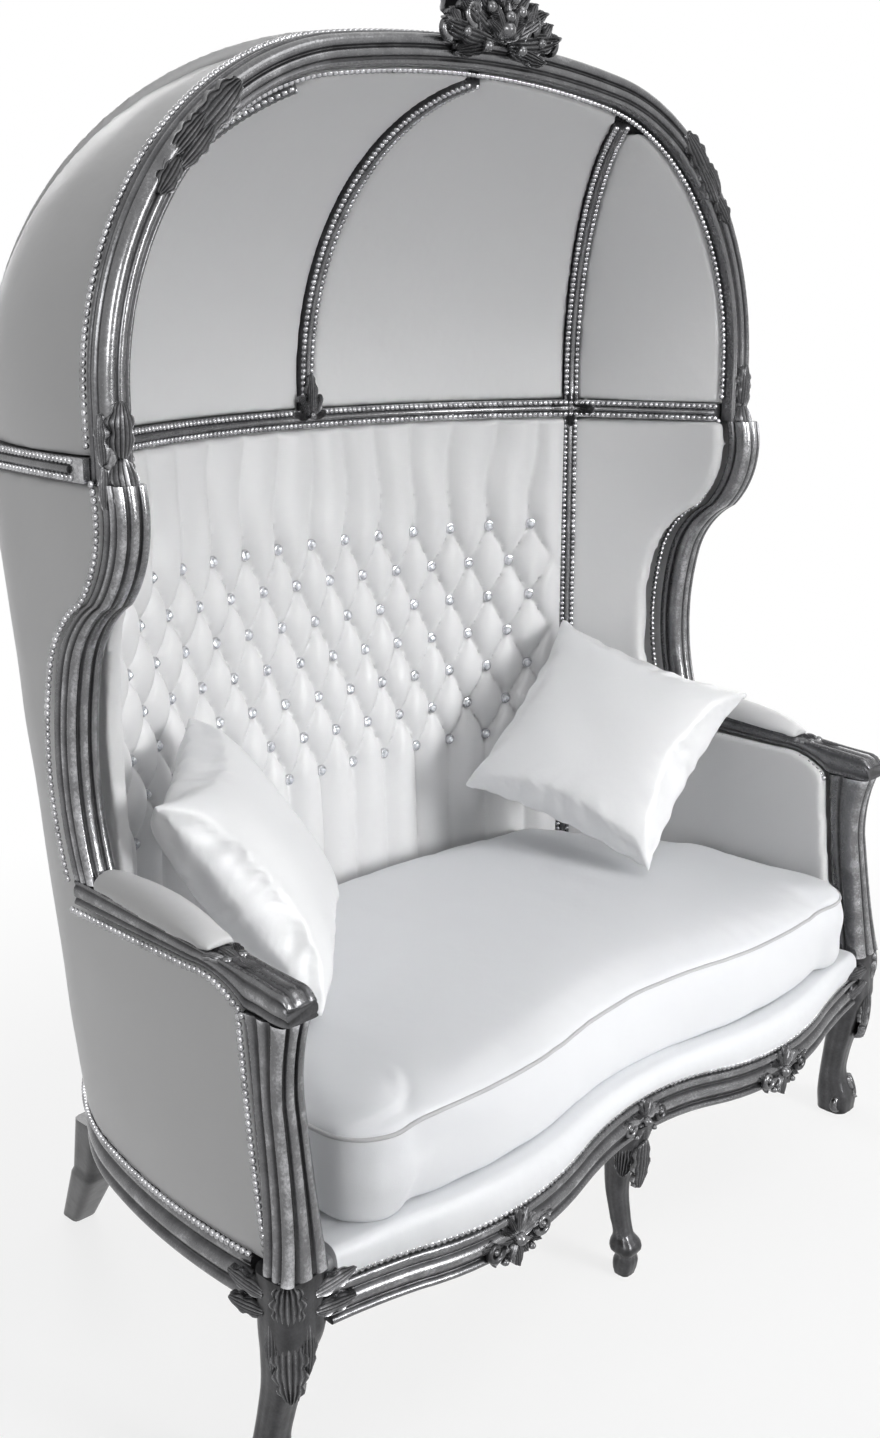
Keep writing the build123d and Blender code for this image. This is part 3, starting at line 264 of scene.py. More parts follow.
def cut_crystal():
    """Clear glass that glints from its facets, with painted sparkle in bright and dark cells over its colour.
    """
    finish = Finish("cut crystal")
    # Painted sparkle: bright cells in the colour stand in for glints.
    painted_sparkle = finish.cells(240, "F1")
    colour = finish.ramp(painted_sparkle, [
        (0, (0.95, 0.96, 0.98)), (0.5, (0.74, 0.76, 0.80)), (1, (0.50, 0.52, 0.56))])
    return principled(finish, {
        "Base Color": colour,
        "Metallic": 0.55,
        "Roughness": 0.05 + finish.cloud(400, 1) * 0.06,
        "Coat Weight": 1.0,
        "Coat Roughness": 0.03})


def plain_beech():
    """Unfinished beech of the hidden blocks and dowels."""
    finish = Finish("plain beech")
    rings = finish.cloud(30, 5, (1, 9, 9))
    pores = finish.cloud(500, 2, (1, 12, 12))
    colour = finish.ramp(rings, [(0.25, (0.42, 0.25, 0.13)), (0.75, (0.60, 0.40, 0.23))])
    return principled(finish, {
        "Base Color": colour,
        "Roughness": 0.55 + pores * 0.2,
        "Normal": finish.bump(pores, 0.0006, 0.4)})


def jute_webbing():
    """Woven webbing under the seat."""
    finish = Finish("jute webbing")
    strands = 260
    knit = finish.weave("X", strands) * finish.weave("Y", strands)
    colour = finish.ramp(knit, [(0, (0.22, 0.16, 0.10)), (1, (0.52, 0.42, 0.29))])
    return principled(finish, {
        "Base Color": colour,
        "Roughness": 0.85 + finish.cloud(80) * 0.1,
        "Normal": finish.bump(knit, 0.001, 0.6)})


# Copies of one silver leaf: a higher depth and lift make a copy brighter as painted highlight, most on the
# button rims, where it stands for the sparkle of the stones.
silver = silver_leaf("silver leaf on carving", 1.3, 0.0)
silver_moulding = silver_leaf("silver leaf on moulding", 1.6, 0.13)
silver_trim = silver_leaf("silver leaf on slim trim", 1.5, 0.06)
nail_silver = silver_leaf("silver nailheads", 1.6, 0.12)
rim_silver = silver_leaf("silver of the button rims with painted sparkle", 1.6, 0.36)
seat_leather = faux_leather(
    "white leather of the seat", (0.76, 0.77, 0.79), (0.63, 0.64, 0.66), 0.40)
body_leather = faux_leather(
    "white leather of the body", (0.74, 0.74, 0.745), (0.61, 0.61, 0.615), 0.44)
pillow_cover = faux_leather(
    "white leather of the pillows", (0.82, 0.825, 0.835), (0.70, 0.705, 0.72), 0.34, 520)
welt_leather = faux_leather("grey welt cord", grey(0.50, 0.01), grey(0.36, 0.01), 0.38)
crystal = cut_crystal()
beech = plain_beech()
webbing = jute_webbing()


slot_finishes = {
    "silver_wood": (silver, silver_moulding, silver_trim, nail_silver, rim_silver),
    "white_leather": (seat_leather, body_leather, welt_leather),
    "pillow_leather": (pillow_cover,),
    "crystal": (crystal,)}
slots = {finish: slot for slot, finishes in slot_finishes.items() for finish in finishes}

# Angles in degrees over which an edge is left sharp
nail_crisp = 50
moulding_crisp = 70
carving_crisp = 60
leather_crisp = 80
rim_crisp = 40
stone_crisp = 5


# Making pieces
def settle(piece, finish, nodes):
    """Gives a piece its finish and body, and hides the CAD nodes that it stands for."""
    piece.data.materials.clear()
    piece.data.materials.append(finish)
    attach(piece, "root")
    if nodes:
        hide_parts(*nodes)
    return piece


def make_piece(name, points, faces, finish, nodes, relief, crisp):
    """A mesh from millimetre points, smooth but for its sharp edges."""
    mesh = bpy.data.meshes.new(name)
    mesh.from_pydata([metres(point) for point in points], [], faces)
    mesh.validate()
    # Each point keeps a value that paints shade into grooves, folds and seams and a highlight onto edges.
    layer = mesh.attributes.new("relief", "FLOAT", "POINT")
    layer.data.foreach_set("value", relief)
    for polygon in mesh.polygons:
        polygon.use_smooth = True
    mesh.set_sharp_from_angle(angle=radians(crisp))
    piece = bpy.data.objects.new(name, mesh)
    bpy.context.scene.collection.objects.link(piece)
    return settle(piece, finish, nodes)


def ring_faces(count, size, closed=False, capped=True):
    """Quads between rings of points, with a cap at each open end."""
    faces = []
    for i in range(count if closed else count - 1):
        low = i * size
        high = ((i + 1) % count) * size
        for j in range(size):
            k = (j + 1) % size
            faces.append((low + j, low + k, high + k, high + j))
    if capped and not closed:
        faces.append(tuple(reversed(range(size))))
        faces.append(tuple(range((count - 1) * size, count * size)))
    return faces


def skin_faces(rows, width):
    """Faces of a closed skin between an upper and a lower grid of points."""
    size = rows * width
    faces = []
    for j in range(rows - 1):
        for i in range(width - 1):
            one = j * width + i
            quad = (one, one + 1, one + width + 1, one + width)
            faces += [quad, tuple(size + index for index in reversed(quad))]
    border = list(range(width)) + [j * width + width - 1 for j in range(1, rows)]
    border += [(rows - 1) * width + i for i in range(width - 2, -1, -1)]
    border += [j * width for j in range(rows - 2, 0, -1)]
    for one, two in zip(border, border[1:] + border[:1]):
        faces.append((two, one, size + one, size + two))
    return faces


class Heap:
    """Points and faces of many like parts, joined in one mesh."""
    def __init__(self):
        self.points = []
        self.faces = []
        self.relief = []

    def add(self, points, faces, relief=None):
        start = len(self.points)
        self.points.extend(points)
        self.faces.extend(tuple(start + index for index in face) for face in faces)
        self.relief.extend(relief if relief else [0.0] * len(points))

    def rings(self, rings, painted_shadings=None, closed=False, capped=True):
        points = [point for ring in rings for point in ring]
        values = [value for ring in painted_shadings for value in ring] if painted_shadings else None
        self.add(points, ring_faces(len(rings), len(rings[0]), closed, capped), values)

    def sections(self, rings, profile):
        """A solid through sections whose painted shading values are the profile's third values."""
        self.rings(rings, [[relief for *_, relief in profile]] * len(rings))

    def flipped(self):
        """The same parts on the other side of the sofa."""
        other = Heap()
        other.points = [Vector((-point[0], point[1], point[2])) for point in self.points]
        other.faces = [tuple(reversed(face)) for face in self.faces]
        other.relief = list(self.relief)
        return other

    def join(self, other):
        self.add(other.points, other.faces, other.relief)
        return self

    def piece(self, name, finish, nodes=(), crisp=nail_crisp):
        return make_piece(name, self.points, self.faces, finish, nodes, self.relief, crisp)


def both_sides(heap, name, finish, node=None, crisp=nail_crisp):
    """One piece for each side, where the right one is as made."""
    for side, part in (("right", heap), ("left", heap.flipped())):
        part.piece(name + "-" + side, finish, (node + "_" + side,) if node else (), crisp)


def kept_mesh(piece):
    """The piece's mesh as its modifiers leave it."""
    graph = bpy.context.evaluated_depsgraph_get()
    mesh = bpy.data.meshes.new_from_object(piece.evaluated_get(graph))
    piece.modifiers.clear()
    return mesh


def skin_tree(mesh):
    """The mesh's faces, laid out for rays and nearest points."""
    points = [vertex.co for vertex in mesh.vertices]
    return BVHTree.FromPolygons(points, [polygon.vertices for polygon in mesh.polygons])


def upholster(name, node, finish, voxel, puff, reach, seed):
    """A panel of its node's form, sewn down at its rim and stuffed between."""
    farthest = 0.5
    thickest_panel = 0.046
    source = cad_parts[node]
    mesh = source.data.copy()
    mesh.name = name
    piece = bpy.data.objects.new(name, mesh)
    bpy.context.scene.collection.objects.link(piece)
    remesh = piece.modifiers.new("even", "REMESH")
    remesh.mode = "VOXEL"
    remesh.voxel_size = voxel
    even = kept_mesh(piece)
    piece.data = even
    tree = skin_tree(even)
    skin = []
    rim = []
    for vertex in even.vertices:
        start = vertex.co - vertex.normal * 0.002
        hit = tree.ray_cast(start, -vertex.normal, farthest)
        skin.append((hit[3] or farthest) < thickest_panel)
        if not skin[-1]:
            rim.append(vertex.co.copy())
    finder = KDTree(len(rim))
    for index, spot in enumerate(rim):
        finder.insert(spot, index)
    finder.balance()
    shift = Vector((seed * 3.7, seed * 1.3, 0))
    moved = []
    relief = []
    for vertex, on_skin in zip(even.vertices, skin):
        far = finder.find(vertex.co)[2] * 1000 if rim else reach
        rise = 1 - exp(-(far / reach) ** 1.4) if on_skin else 0
        ripple = noise.noise(vertex.co * 9 + shift) * 2.2 * rise
        moved.append(vertex.co + vertex.normal * (puff * rise + ripple - 0.6) * 0.001)
        # Painted shade: points near the sewn rim, and those off the skin, get a negative value that darkens
        # them.
        relief.append(-0.22 * exp(-far / 7) if on_skin else -0.2)
    even.vertices.foreach_set("co", [value for spot in moved for value in spot])
    layer = even.attributes.new("relief", "FLOAT", "POINT")
    layer.data.foreach_set("value", relief)
    for polygon in even.polygons:
        polygon.use_smooth = True
    even.update()
    smooth = piece.modifiers.new("smooth", "SMOOTH")
    smooth.factor = 0.5
    smooth.iterations = 6
    settle(piece, finish, (node,))


# Finishes of the solids that stay
solid_finishes = {
    silver: ("canopy_rail_back", "canopy_rail_left", "canopy_rail_right"),
    beech: ("frame_dowels", "corner_blocks"),
    webbing: ("seat_webbing",)}
for finish, names in solid_finishes.items():
    for name in names:
        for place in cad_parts[name].material_slots:
            place.material = finish

# Leather panels: how far each is stuffed, and how far from its rim it reaches that height
panel_voxel = 0.0065
side_panels = [
    ("inner_dome_centre", 5, 60), ("inner_dome_side", 5, 60), ("outer_dome_centre", 6, 60),
    ("outer_dome_side", 6, 60), ("inner_side_panel", 5, 40), ("outer_side_panel", 5, 50)]
for index, (node, puff, reach) in enumerate(side_panels):
    for side in ("left", "right"):
        name = node.replace("_", "-") + "-" + side
        upholster(name, node + "_" + side, body_leather, panel_voxel, puff, reach, index)
upholster("outer-back", "outer_back_panel", body_leather, panel_voxel, 6, 60, 9)
upholster("seat-platform", "seat_deck", seat_leather, 0.006, 2, 20, 10)


# Curves of the frame
def arc_through(first, middle, last, count):
    """Points on the circular arc from the first point to the last."""
    first, middle, last = Vector(first), Vector(middle), Vector(last)
    one = middle - first
    two = last - first
    normal = one.cross(two)
    if normal.length < 0.001:
        return [first.lerp(last, i / count) for i in range(count + 1)]
    aim = normal.cross(one) * two.length_squared + two.cross(normal) * one.length_squared
    centre = first + aim / (2 * normal.length_squared)
    ahead = first - centre
    aside = normal.normalized().cross(ahead)
    turn = atan2((last - centre).dot(aside), (last - centre).dot(ahead)) % (2 * pi)
    angles = [turn * i / count for i in range(count + 1)]
    return [centre + ahead * cos(angle) + aside * sin(angle) for angle in angles]


def arc_chain(points, count=12):
    """Arcs through points that alternate between ends and middles."""
    found = [Vector(points[0])]
    for i in range(0, len(points) - 2, 2):
        found.extend(arc_through(*points[i:i + 3], count)[1:])
    return found


def evenly(pairs, pitch):
    """Points and normals at equal steps along a row of such pairs."""
    lengths = [0]
    for one, two in zip(pairs, pairs[1:]):
        lengths.append(lengths[-1] + (two[0] - one[0]).length)
    count = max(int(round(lengths[-1] / pitch)), 1)
    found = []
    spot = 0
    for i in range(count + 1):
        goal = lengths[-1] * i / count
        while spot < len(pairs) - 2 and lengths[spot + 1] < goal:
            spot += 1
        share = (goal - lengths[spot]) / max(lengths[spot + 1] - lengths[spot], 0.0001)
        one, two = pairs[spot], pairs[spot + 1]
        found.append((one[0].lerp(two[0], share), one[1].lerp(two[1], share).normalized()))
    return found


def rounded(points, rounds=2, closed=True):
    """Cuts the corners of a profile; a point is across, out and its painted shading value."""
    for _ in range(rounds):
        cut = []
        count = len(points)
        for i in range(count if closed else count - 1):
            one = points[i]
            two = points[(i + 1) % count]
            cut.append(tuple(mix(a, b, 0.25) for a, b in zip(one, two)))
            cut.append(tuple(mix(a, b, 0.75) for a, b in zip(one, two)))
        if not closed:
            cut = [points[0]] + cut + [points[-1]]
        points = cut
    return points


def lookup(points, axis=0):
    """The other values of a row of points at a place along one axis."""
    rows = sorted(points, key=lambda point: point[axis])

    def at(value):
        low, high = 0, len(rows) - 1
        while high - low > 1:
            middle = (low + high) // 2
            if rows[middle][axis] <= value:
                low = middle
            else:
                high = middle
        span = rows[high][axis] - rows[low][axis]
        share = (value - rows[low][axis]) / span if span else 0
        return rows[low].lerp(rows[high], min(max(share, 0), 1))
    return at


def arch_curve(inset):
    """Centres and radii of the arch at an inset from its outside."""
    radius = arch_shoulder_radius - inset
    centre_x = frame_half_width - arch_shoulder_radius
    rise = arch_top_height - inset - arch_spring_height
    crown_radius = (centre_x ** 2 + rise ** 2 - radius ** 2) / (2 * (rise - radius))
    crown_height = arch_top_height - inset - crown_radius
    return centre_x, radius, crown_radius, crown_height, atan2(arch_spring_height - crown_height, centre_x)


def arch_point(inset, angle):
    """Across and up on the arch at an angle from the level."""
    centre_x, radius, crown_radius, crown_height, lean = arch_curve(inset)
    if angle <= lean:
        return centre_x + radius * cos(angle), arch_spring_height + radius * sin(angle)
    return crown_radius * cos(angle), crown_height + crown_radius * sin(angle)


def arch_height_at(inset, x):
    """Height of the arch over a place across."""
    centre_x, radius, crown_radius, crown_height, lean = arch_curve(inset)
    if x > arch_point(inset, lean)[0]:
        return arch_spring_height + sqrt(radius ** 2 - (x - centre_x) ** 2)
    return crown_height + sqrt(crown_radius ** 2 - x ** 2)


def side_points(shares, low, high, shift=0, x=0):
    """Points of a side view from shares of the depth and of the rise."""
    return [Vector((x, share * canopy_depth + shift, mix(low, high, rise))) for share, rise in shares]


def rail_wave(middle, bow, end):
    """Serpentine values along the front: a middle, two bows and two ends."""
    turn_x = bow_x / 2
    outer_x = bow_x + turn_x
    side = mix(bow, end, 0.5)
    right = [(turn_x, mix(middle, bow, 0.5)), (bow_x, bow), (outer_x, side),
             (mix(outer_x, rail_end_x, 0.5), mix(side, end, 0.58)), (rail_end_x, end)]
    return [(-x, value) for x, value in reversed(right)] + [(0, middle)] + right


front_plan = lookup(arc_chain([(x, y, 0) for x, y in rail_wave(-valley_front, -bow_front, -rail_end_front)]))
apron_low = lookup(arc_chain([(x, 0, z) for x, z in rail_wave(246, 224, 240)]))

# Curves as shares of the frame's half width or depth, across or up
outer_low_shares = [(1.004, -0.66), (1.006, -0.22), (0.956, 0.22), (0.896, 0.43), (0.793, 0.637), (0, 0.945)]
outer_high_shares = [(0.988, -0.66), (1.009, 0), (0.981, 0.495), (0.931, 0.66), (0.808, 0.774), (0, 1)]
wing_front_shares = [
    (0.099, 0), (0.160, 0.33), (0.121, 0.55), (0.055, 0.65), (-0.037, 0.712), (-0.107, 0.80), (-0.125, 1)]
post_front_shares = [(-0.772, 0), (-0.738, 0.325), (-0.703, 0.665), (-0.709, 0.845), (-0.736, 1)]
post_rear_shares = [(-0.660, 0), (-0.615, 0.36), (-0.589, 0.665), (-0.576, 0.845), (-0.567, 1)]


def outer_path(share, height, count=16):
    """Right half of the body's outer plan at a height, with outward normals."""
    points = []
    for low, high in zip(outer_low_shares, outer_high_shares):
        across, back = mix(low[0], high[0], share), mix(low[1], high[1], share)
        points.append(Vector((across * frame_half_width, back * canopy_depth, height)))
    mirror = Vector((-points[4][0], points[4][1], height))
    path = arc_through(*points[:3], count) + arc_through(*points[2:5], count)[1:]
    path += arc_through(points[4], points[5], mirror, count * 2)[1:count + 1]
    return with_normals(path, Vector((0, 0, 1)))


def with_normals(path, up):
    """Pairs of a path's points and the normals to its right."""
    pairs = []
    for i, point in enumerate(path):
        ahead = path[min(i + 1, len(path) - 1)] - path[max(i - 1, 0)]
        pairs.append((point, ahead.cross(up).normalized()))
    return pairs


def inner_rail_path(proud, height, count=18):
    """Inner edge of the canopy rail from its right end to the middle, with inward normals."""
    side_x, side_y = mix(star_x, frame_inner, 0.52), mix(star_y, -arch_front, 0.46)
    one = (frame_inner - inner_proud - proud, arch_back + fit_gap, height)
    two = (side_x - proud, side_y, height)
    three = (star_x - proud, star_y - proud, height)
    four = (0, inner_depth - proud, height)
    right = arc_through(one, two, three, count)
    back = arc_through(three, four, (-three[0], three[1], height), count * 2)[:count + 1]
    return with_normals(right, Vector((0, 0, -1))), with_normals(back, Vector((0, 0, -1)))


class Meridian:
    """An upright arc of the dome from the canopy rail to the arch."""
    def __init__(self, base, top, top_height):
        self.base = Vector((base[0], base[1], 0))
        self.top = Vector((top[0], top[1], 0))
        self.span = (self.base - self.top).length
        self.out = (self.base - self.top).normalized()
        drop = canopy_rail_top + fit_gap - dome_spring_height
        rise = top_height - dome_spring_height
        self.centre = (self.span ** 2 + drop ** 2 - rise ** 2) / (2 * self.span)
        self.radius = hypot(self.span - self.centre, drop)
        self.low = atan2(drop, self.span - self.centre)
        self.high = atan2(rise, -self.centre)

    def at(self, share, grow=0, aside=0):
        """Point, and normal into the dome, at a share of the arc."""
        turn = mix(self.low, self.high, share)
        side = Vector((self.out.y, -self.out.x, 0))
        spot = self.top + self.out * (self.centre + (self.radius + grow) * cos(turn)) + side * aside
        spot.z = dome_spring_height + (self.radius + grow) * sin(turn)
        return spot, -(self.out * cos(turn) + Vector((0, 0, sin(turn))))


inner_inset = arch_face_width + inner_proud
side_meridian = Meridian(
    (star_x, star_y), (side_rib_top_x, arch_back), arch_height_at(inner_inset, side_rib_top_x))
centre_meridian = Meridian(
    (0, inner_depth), (0, arch_back + fit_gap), arch_height_at(inner_inset, 0))


# Nailheads
nail_sides = 8
nail_rings = ((1, -0.5), (1, 0.12), (0.66, 0.46))
nail_top = 0.6


def drive_nails(heap, pairs):
    """A row of domed nailheads along points with normals."""
    size = nail_sides
    tip = len(nail_rings) * size
    for point, normal in evenly(pairs, nail_pitch):
        side = normal.orthogonal().normalized()
        other = normal.cross(side)
        points = []
        for reach, rise in nail_rings:
            for k in range(size):
                turn = 2 * pi * k / size
                out = (side * cos(turn) + other * sin(turn)) * nail_radius * reach
                points.append(point + out + normal * nail_radius * rise)
        points.append(point + normal * nail_radius * nail_top)
        faces = []
        for low in range(0, tip - size, size):
            high = low + size
            faces += [(low + k, low + (k + 1) % size, high + (k + 1) % size, high + k) for k in range(size)]
        faces += [(tip - size + k, tip - size + (k + 1) % size, tip) for k in range(size)]
        faces.append(tuple(reversed(range(size))))
        # Nailheads get a little painted highlight.
        heap.add(points, faces, [0.1] * len(points))


def nail_both_edges(name, path, outer, inner):
    """Nailheads on the leather outside and inside a side frame; each place is across, back and up."""
    nails = Heap()
    for place, side in ((outer, 1), (inner, -1)):
        drive_nails(nails, [(point + Vector(place), Vector((side, 0, 0))) for point in path])
    both_sides(nails, name, nail_silver)


def sweep(heap, path, profile):
    """A moulding: profile points are along the pair's normal, up, and painted shading value."""
    rings = []
    for point, normal in path:
        rings.append([point + normal * out + Vector((0, 0, up)) for out, up, *_ in profile])
    heap.sections(rings, profile)


# Arch of the canopy
# The third values paint shade in the grooves and a highlight on the beads.
arch_profile = rounded([
    (0, -1, 0), (0, -5, 0.1), (2.6, -7.5, -0.5), (0.3, -11, 0.25), (0.6, -15, 0.2),
    (4.2, -17.5, -0.5), (3.2, -21, 0.1),
    (4, -27, 0.2), (7.5, -33, 0.3), (13, -35, 0.2), (17.5, -34, 0), (19, -29.5, -0.55),
    (21.5, -29.5, -0.5), (23.5, -33.5, 0.1), (28, -34.5, 0.3), (32.5, -32.5, 0),
    (33.5, -28, -0.55), (36, -28, -0.4), (39.5, -30.5, 0.2),
    (43.5, -27.5, 0.25), (45, -22, 0), (45, -12, -0.1), (45, -1, -0.2)])


leg_step = 11
arch_steps = 75


def make_arch():
    """The canopy's arch and its two legs, swept in one piece."""
    steps = [(None, height) for height in range(canopy_rail_bottom, arch_spring_height, leg_step)]
    steps += [(radians(90 * i / arch_steps), None) for i in range(arch_steps + 1)]
    right = []
    for angle, height in steps:
        ring = []
        for inset, y, *_ in arch_profile:
            x, z = (frame_half_width - inset, height) if angle is None else arch_point(inset, angle)
            ring.append(Vector((x, y, z)))
        right.append(ring)
    left = [[Vector((-point.x, point.y, point.z)) for point in ring] for ring in reversed(right)]
    heap = Heap()
    heap.sections(right[:-1] + left, arch_profile)
    nodes = ("arch_top", "arch_leg_left", "arch_leg_right")
    heap.piece("arch", silver_moulding, nodes, moulding_crisp)


def make_arch_nails():
    """One row outside the arch and one inside; a row is its inset, its place in depth and its way out."""
    heap = Heap()
    lowest = canopy_rail_top + 12
    for inset, y, out in ((-0.5, 6.5, 1), (50.5, -7, -1)):
        path = []
        for height in range(lowest, arch_spring_height, leg_step):
            path.append((Vector((frame_half_width - inset, y, height)), Vector((out, 0, 0))))
        over = max(-inset, 0)
        for i in range(181):
            angle = radians(min(i, 180 - i))
            side = 1 if i <= 90 else -1
            x, z = arch_point(max(inset, 0), angle)
            normal = Vector((cos(angle) * side * out, 0, sin(angle) * out))
            path.append((Vector((side * (x + over * cos(angle)), y, z + over * sin(angle))), normal))
        for height in range(arch_spring_height, lowest, -leg_step):
            path.append((Vector((-frame_half_width + inset, y, height)), Vector((-out, 0, 0))))
        drive_nails(heap, path)
    heap.piece("arch-nails", nail_silver)


# Wing frames, arm posts and arm rails: profiles of across from the inside and back from the front
# The third values paint shade in the grooves and a highlight on the beads.
strip_profile = rounded([
    (0, 1, -0.2), (0, 0.72, 0), (2.6, 0.66, -0.5), (2.6, 0.60, -0.5), (0, 0.53, 0.1), (0, 0.26, 0.2),
    (2.5, 0.09, 0.25), (8, 0.01, 0.25), (14, 0.01, 0.1), (16, 0.12, -0.55), (18.5, 0.12, -0.55),
    (20.5, 0.01, 0.2), (26, -0.01, 0.3), (31, 0.02, 0.1), (33, 0.12, -0.55), (35.5, 0.12, -0.5),
    (38, 0.03, 0.2), (42.5, 0.06, 0.3), (45, 0.20, 0.2), (44.8, 0.30, 0), (41.8, 0.36, -0.55),
    (41.8, 0.42, -0.5), (45, 0.48, 0.25), (45, 0.62, 0.25), (42.2, 0.69, -0.55),
    (42.2, 0.74, -0.4), (45, 0.80, 0.15), (45, 1, 0)])


def strip_rings(front, rear, spread=None):
    """Rings of the strip profile between a front and a rear curve."""
    rings = []
    for i, (near, far) in enumerate(zip(front, rear)):
        grow_in, grow_out = spread(i / (len(front) - 1)) if spread else (0, 0)
        ring = []
        for across, back, *_ in strip_profile:
            share = across / arch_face_width
            x = mix(frame_inner - grow_in, frame_half_width + grow_out, share)
            ring.append(Vector((x, mix(near.y, far.y, back), mix(near.z, far.z, back))))
        rings.append(ring)
    return rings


def make_wing_frames():
    """The serpentine frames between the arm and the canopy."""
    front = arc_chain(side_points(wing_front_shares, arm_joint_height, canopy_rail_bottom), 16)
    rear = arc_chain(side_points(wing_front_shares, arm_joint_height, canopy_rail_bottom, wing_depth), 16)
    heap = Heap()
    heap.sections(strip_rings(front, rear), strip_profile)
    both_sides(heap, "wing-frame", silver_moulding, "wing_frame", moulding_crisp)
    nail_both_edges("wing-nails", rear, (frame_half_width + 5, 6, 0), (frame_inner - pad_gap, 7, 0))


def make_arm_posts():
    """The arms' front posts, which flare at foot and head."""
    front = arc_chain(side_points(post_front_shares, seat_rail_top, post_top_height), 14)
    rear = arc_chain(side_points(post_rear_shares, seat_rail_top, post_top_height), 14)

    def flare(share):
        foot = exp(-share / 0.16)
        head = exp(-(1 - share) / 0.10)
        return 7 * foot + 2 * head, 20 * foot + 5 * head

    heap = Heap()
    heap.sections(strip_rings(front, rear, flare), strip_profile)
    both_sides(heap, "arm-post", silver_moulding, "arm_post", moulding_crisp)
    nail_both_edges("post-nails", rear, (frame_half_width + 4, 7, 0), (frame_inner - pad_gap, 7, 0))


def arm_top_at(y):
    """Height of the arm's top, which falls towards its tip."""
    back = wing_front_shares[0][0] * canopy_depth + wing_depth
    return arm_joint_height - (arm_joint_height - arm_tip_height) / (back + arm_tip_reach) * (back - y)


# The third values paint shade in the grooves and a highlight on the beads.
rail_profile = rounded([
    (0, 0, -0.2), (0, 0.12, 0.2), (2.5, 0.22, -0.5), (0, 0.34, 0.1), (0, 0.66, 0.2), (2.5, 0.76, -0.5),
    (1, 0.90, 0.2), (6, 1, 0.2), (10, 0.99, 0.1), (12, 0.91, -0.5), (15, 0.99, 0.1), (22, 1.03, 0.2),
    (29, 0.99, 0.1), (32, 0.91, -0.5), (35, 0.99, 0.1), (40, 1, 0.2), (44, 0.90, 0.3),
    (42, 0.78, -0.55), (42, 0.74, -0.5), (45, 0.64, 0.25), (45, 0.36, 0.25), (42, 0.27, -0.55),
    (42, 0.23, -0.5), (45, 0.12, 0.25), (44, 0, 0), (22, 0, -0.2)])


def make_arm_rails():
    """The moulded rails under the arm pads, rounded down at the tip."""
    back = wing_front_shares[0][0] * canopy_depth + wing_depth
    post_back = post_rear_shares[-1][0] * canopy_depth
    pad_front = wing_front_shares[0][0] * canopy_depth - 235
    bottom_back = arm_joint_height - 36
    step = pad_front - post_back
    sweep_end = pad_front + step / 2
    under = arc_through(
        (0, post_back, post_top_height), (0, post_back + step / 2, mix(post_top_height, bottom_back, 0.62)),
        (0, sweep_end, mix(post_top_height, bottom_back, 0.88)), 10)
    under = [Vector((0, -arm_tip_reach, post_top_height))] + under + [Vector((0, back, bottom_back))]
    low_at = lookup(under, 1)
    heap = Heap()
    rings = []
    for i in range(48):
        y = mix(back, -arm_tip_reach - 4, i / 47)
        nose = max(0, (-arm_tip_reach + 14 - y) / 18)
        dip = 12 * nose ** 2
        low = low_at(y).z + 3 * nose ** 2
        high = arm_top_at(y) - dip
        swell = 3.5 * exp(-((y + 318) / 26) ** 2)
        ring = []
        for across, up, *_ in rail_profile:
            x = mix(frame_inner - swell * 0.4, frame_half_width + swell, across / arch_face_width)
            ring.append(Vector((x, y, mix(low, high, up))))
        rings.append(ring)
    heap.sections(rings, rail_profile)
    both_sides(heap, "arm-rail", silver_moulding, "arm_rail", moulding_crisp)
    nail_both_edges(
        "arm-nails", under[1:], (frame_half_width + 4, 0, -6), (frame_inner - pad_gap, 0, -6))


make_arch()
make_arch_nails()
make_wing_frames()
make_arm_posts()
make_arm_rails()


# Canopy rail, ribs and back posts
trim_nail_gap = 8.6
star_turn = radians(48)
star_facing = Vector((-sin(star_turn), -cos(star_turn), 0))
star_across = Vector((cos(star_turn), -sin(star_turn), 0))


def bead_profile(half, proud, depth):
    """A round bead between the two flats that carry nailheads, from below to above."""
    # The third values paint shade in the hollows and a highlight on the bead.
    shares = [(0.1, 0.80, -0.15), (-0.1, 0.40, -0.45), (0.9, 0.30, 0.1), (1.3, 0.08, 0.3)]
    lower = [(-depth, -half, -0.2), (0, -half, -0.1)]
    lower += [(proud * out, -half * up, relief) for out, up, relief in shares]
    return rounded(lower + [(out, -up, relief) for out, up, relief in reversed(lower)])


def make_canopy_rail():
    """Trim around the rail between body and dome, inside and out."""
    middle = (canopy_rail_bottom + canopy_rail_top) / 2
    profile = bead_profile(13, 3.5, 4)
    side, back = inner_rail_path(4, middle)
    outside = [(point + normal * 4, normal) for point, normal in outer_path(1, middle) if point.y > 2]
    for name, path in (("side", side), ("back", back), ("outer", outside)):
        heap = Heap()
        sweep(heap, path, profile)
        heap.join(heap.flipped())
        heap.piece("canopy-moulding-" + name, silver_trim, (), moulding_crisp)
    nails = Heap()
    for lift in (-10, 10):
        for path in (side, back, outside):
            row = [(point + normal * 0.8 + Vector((0, 0, lift)), normal) for point, normal in path]
            drive_nails(nails, row)
    nails.join(nails.flipped())
    nails.piece("canopy-nails", nail_silver)


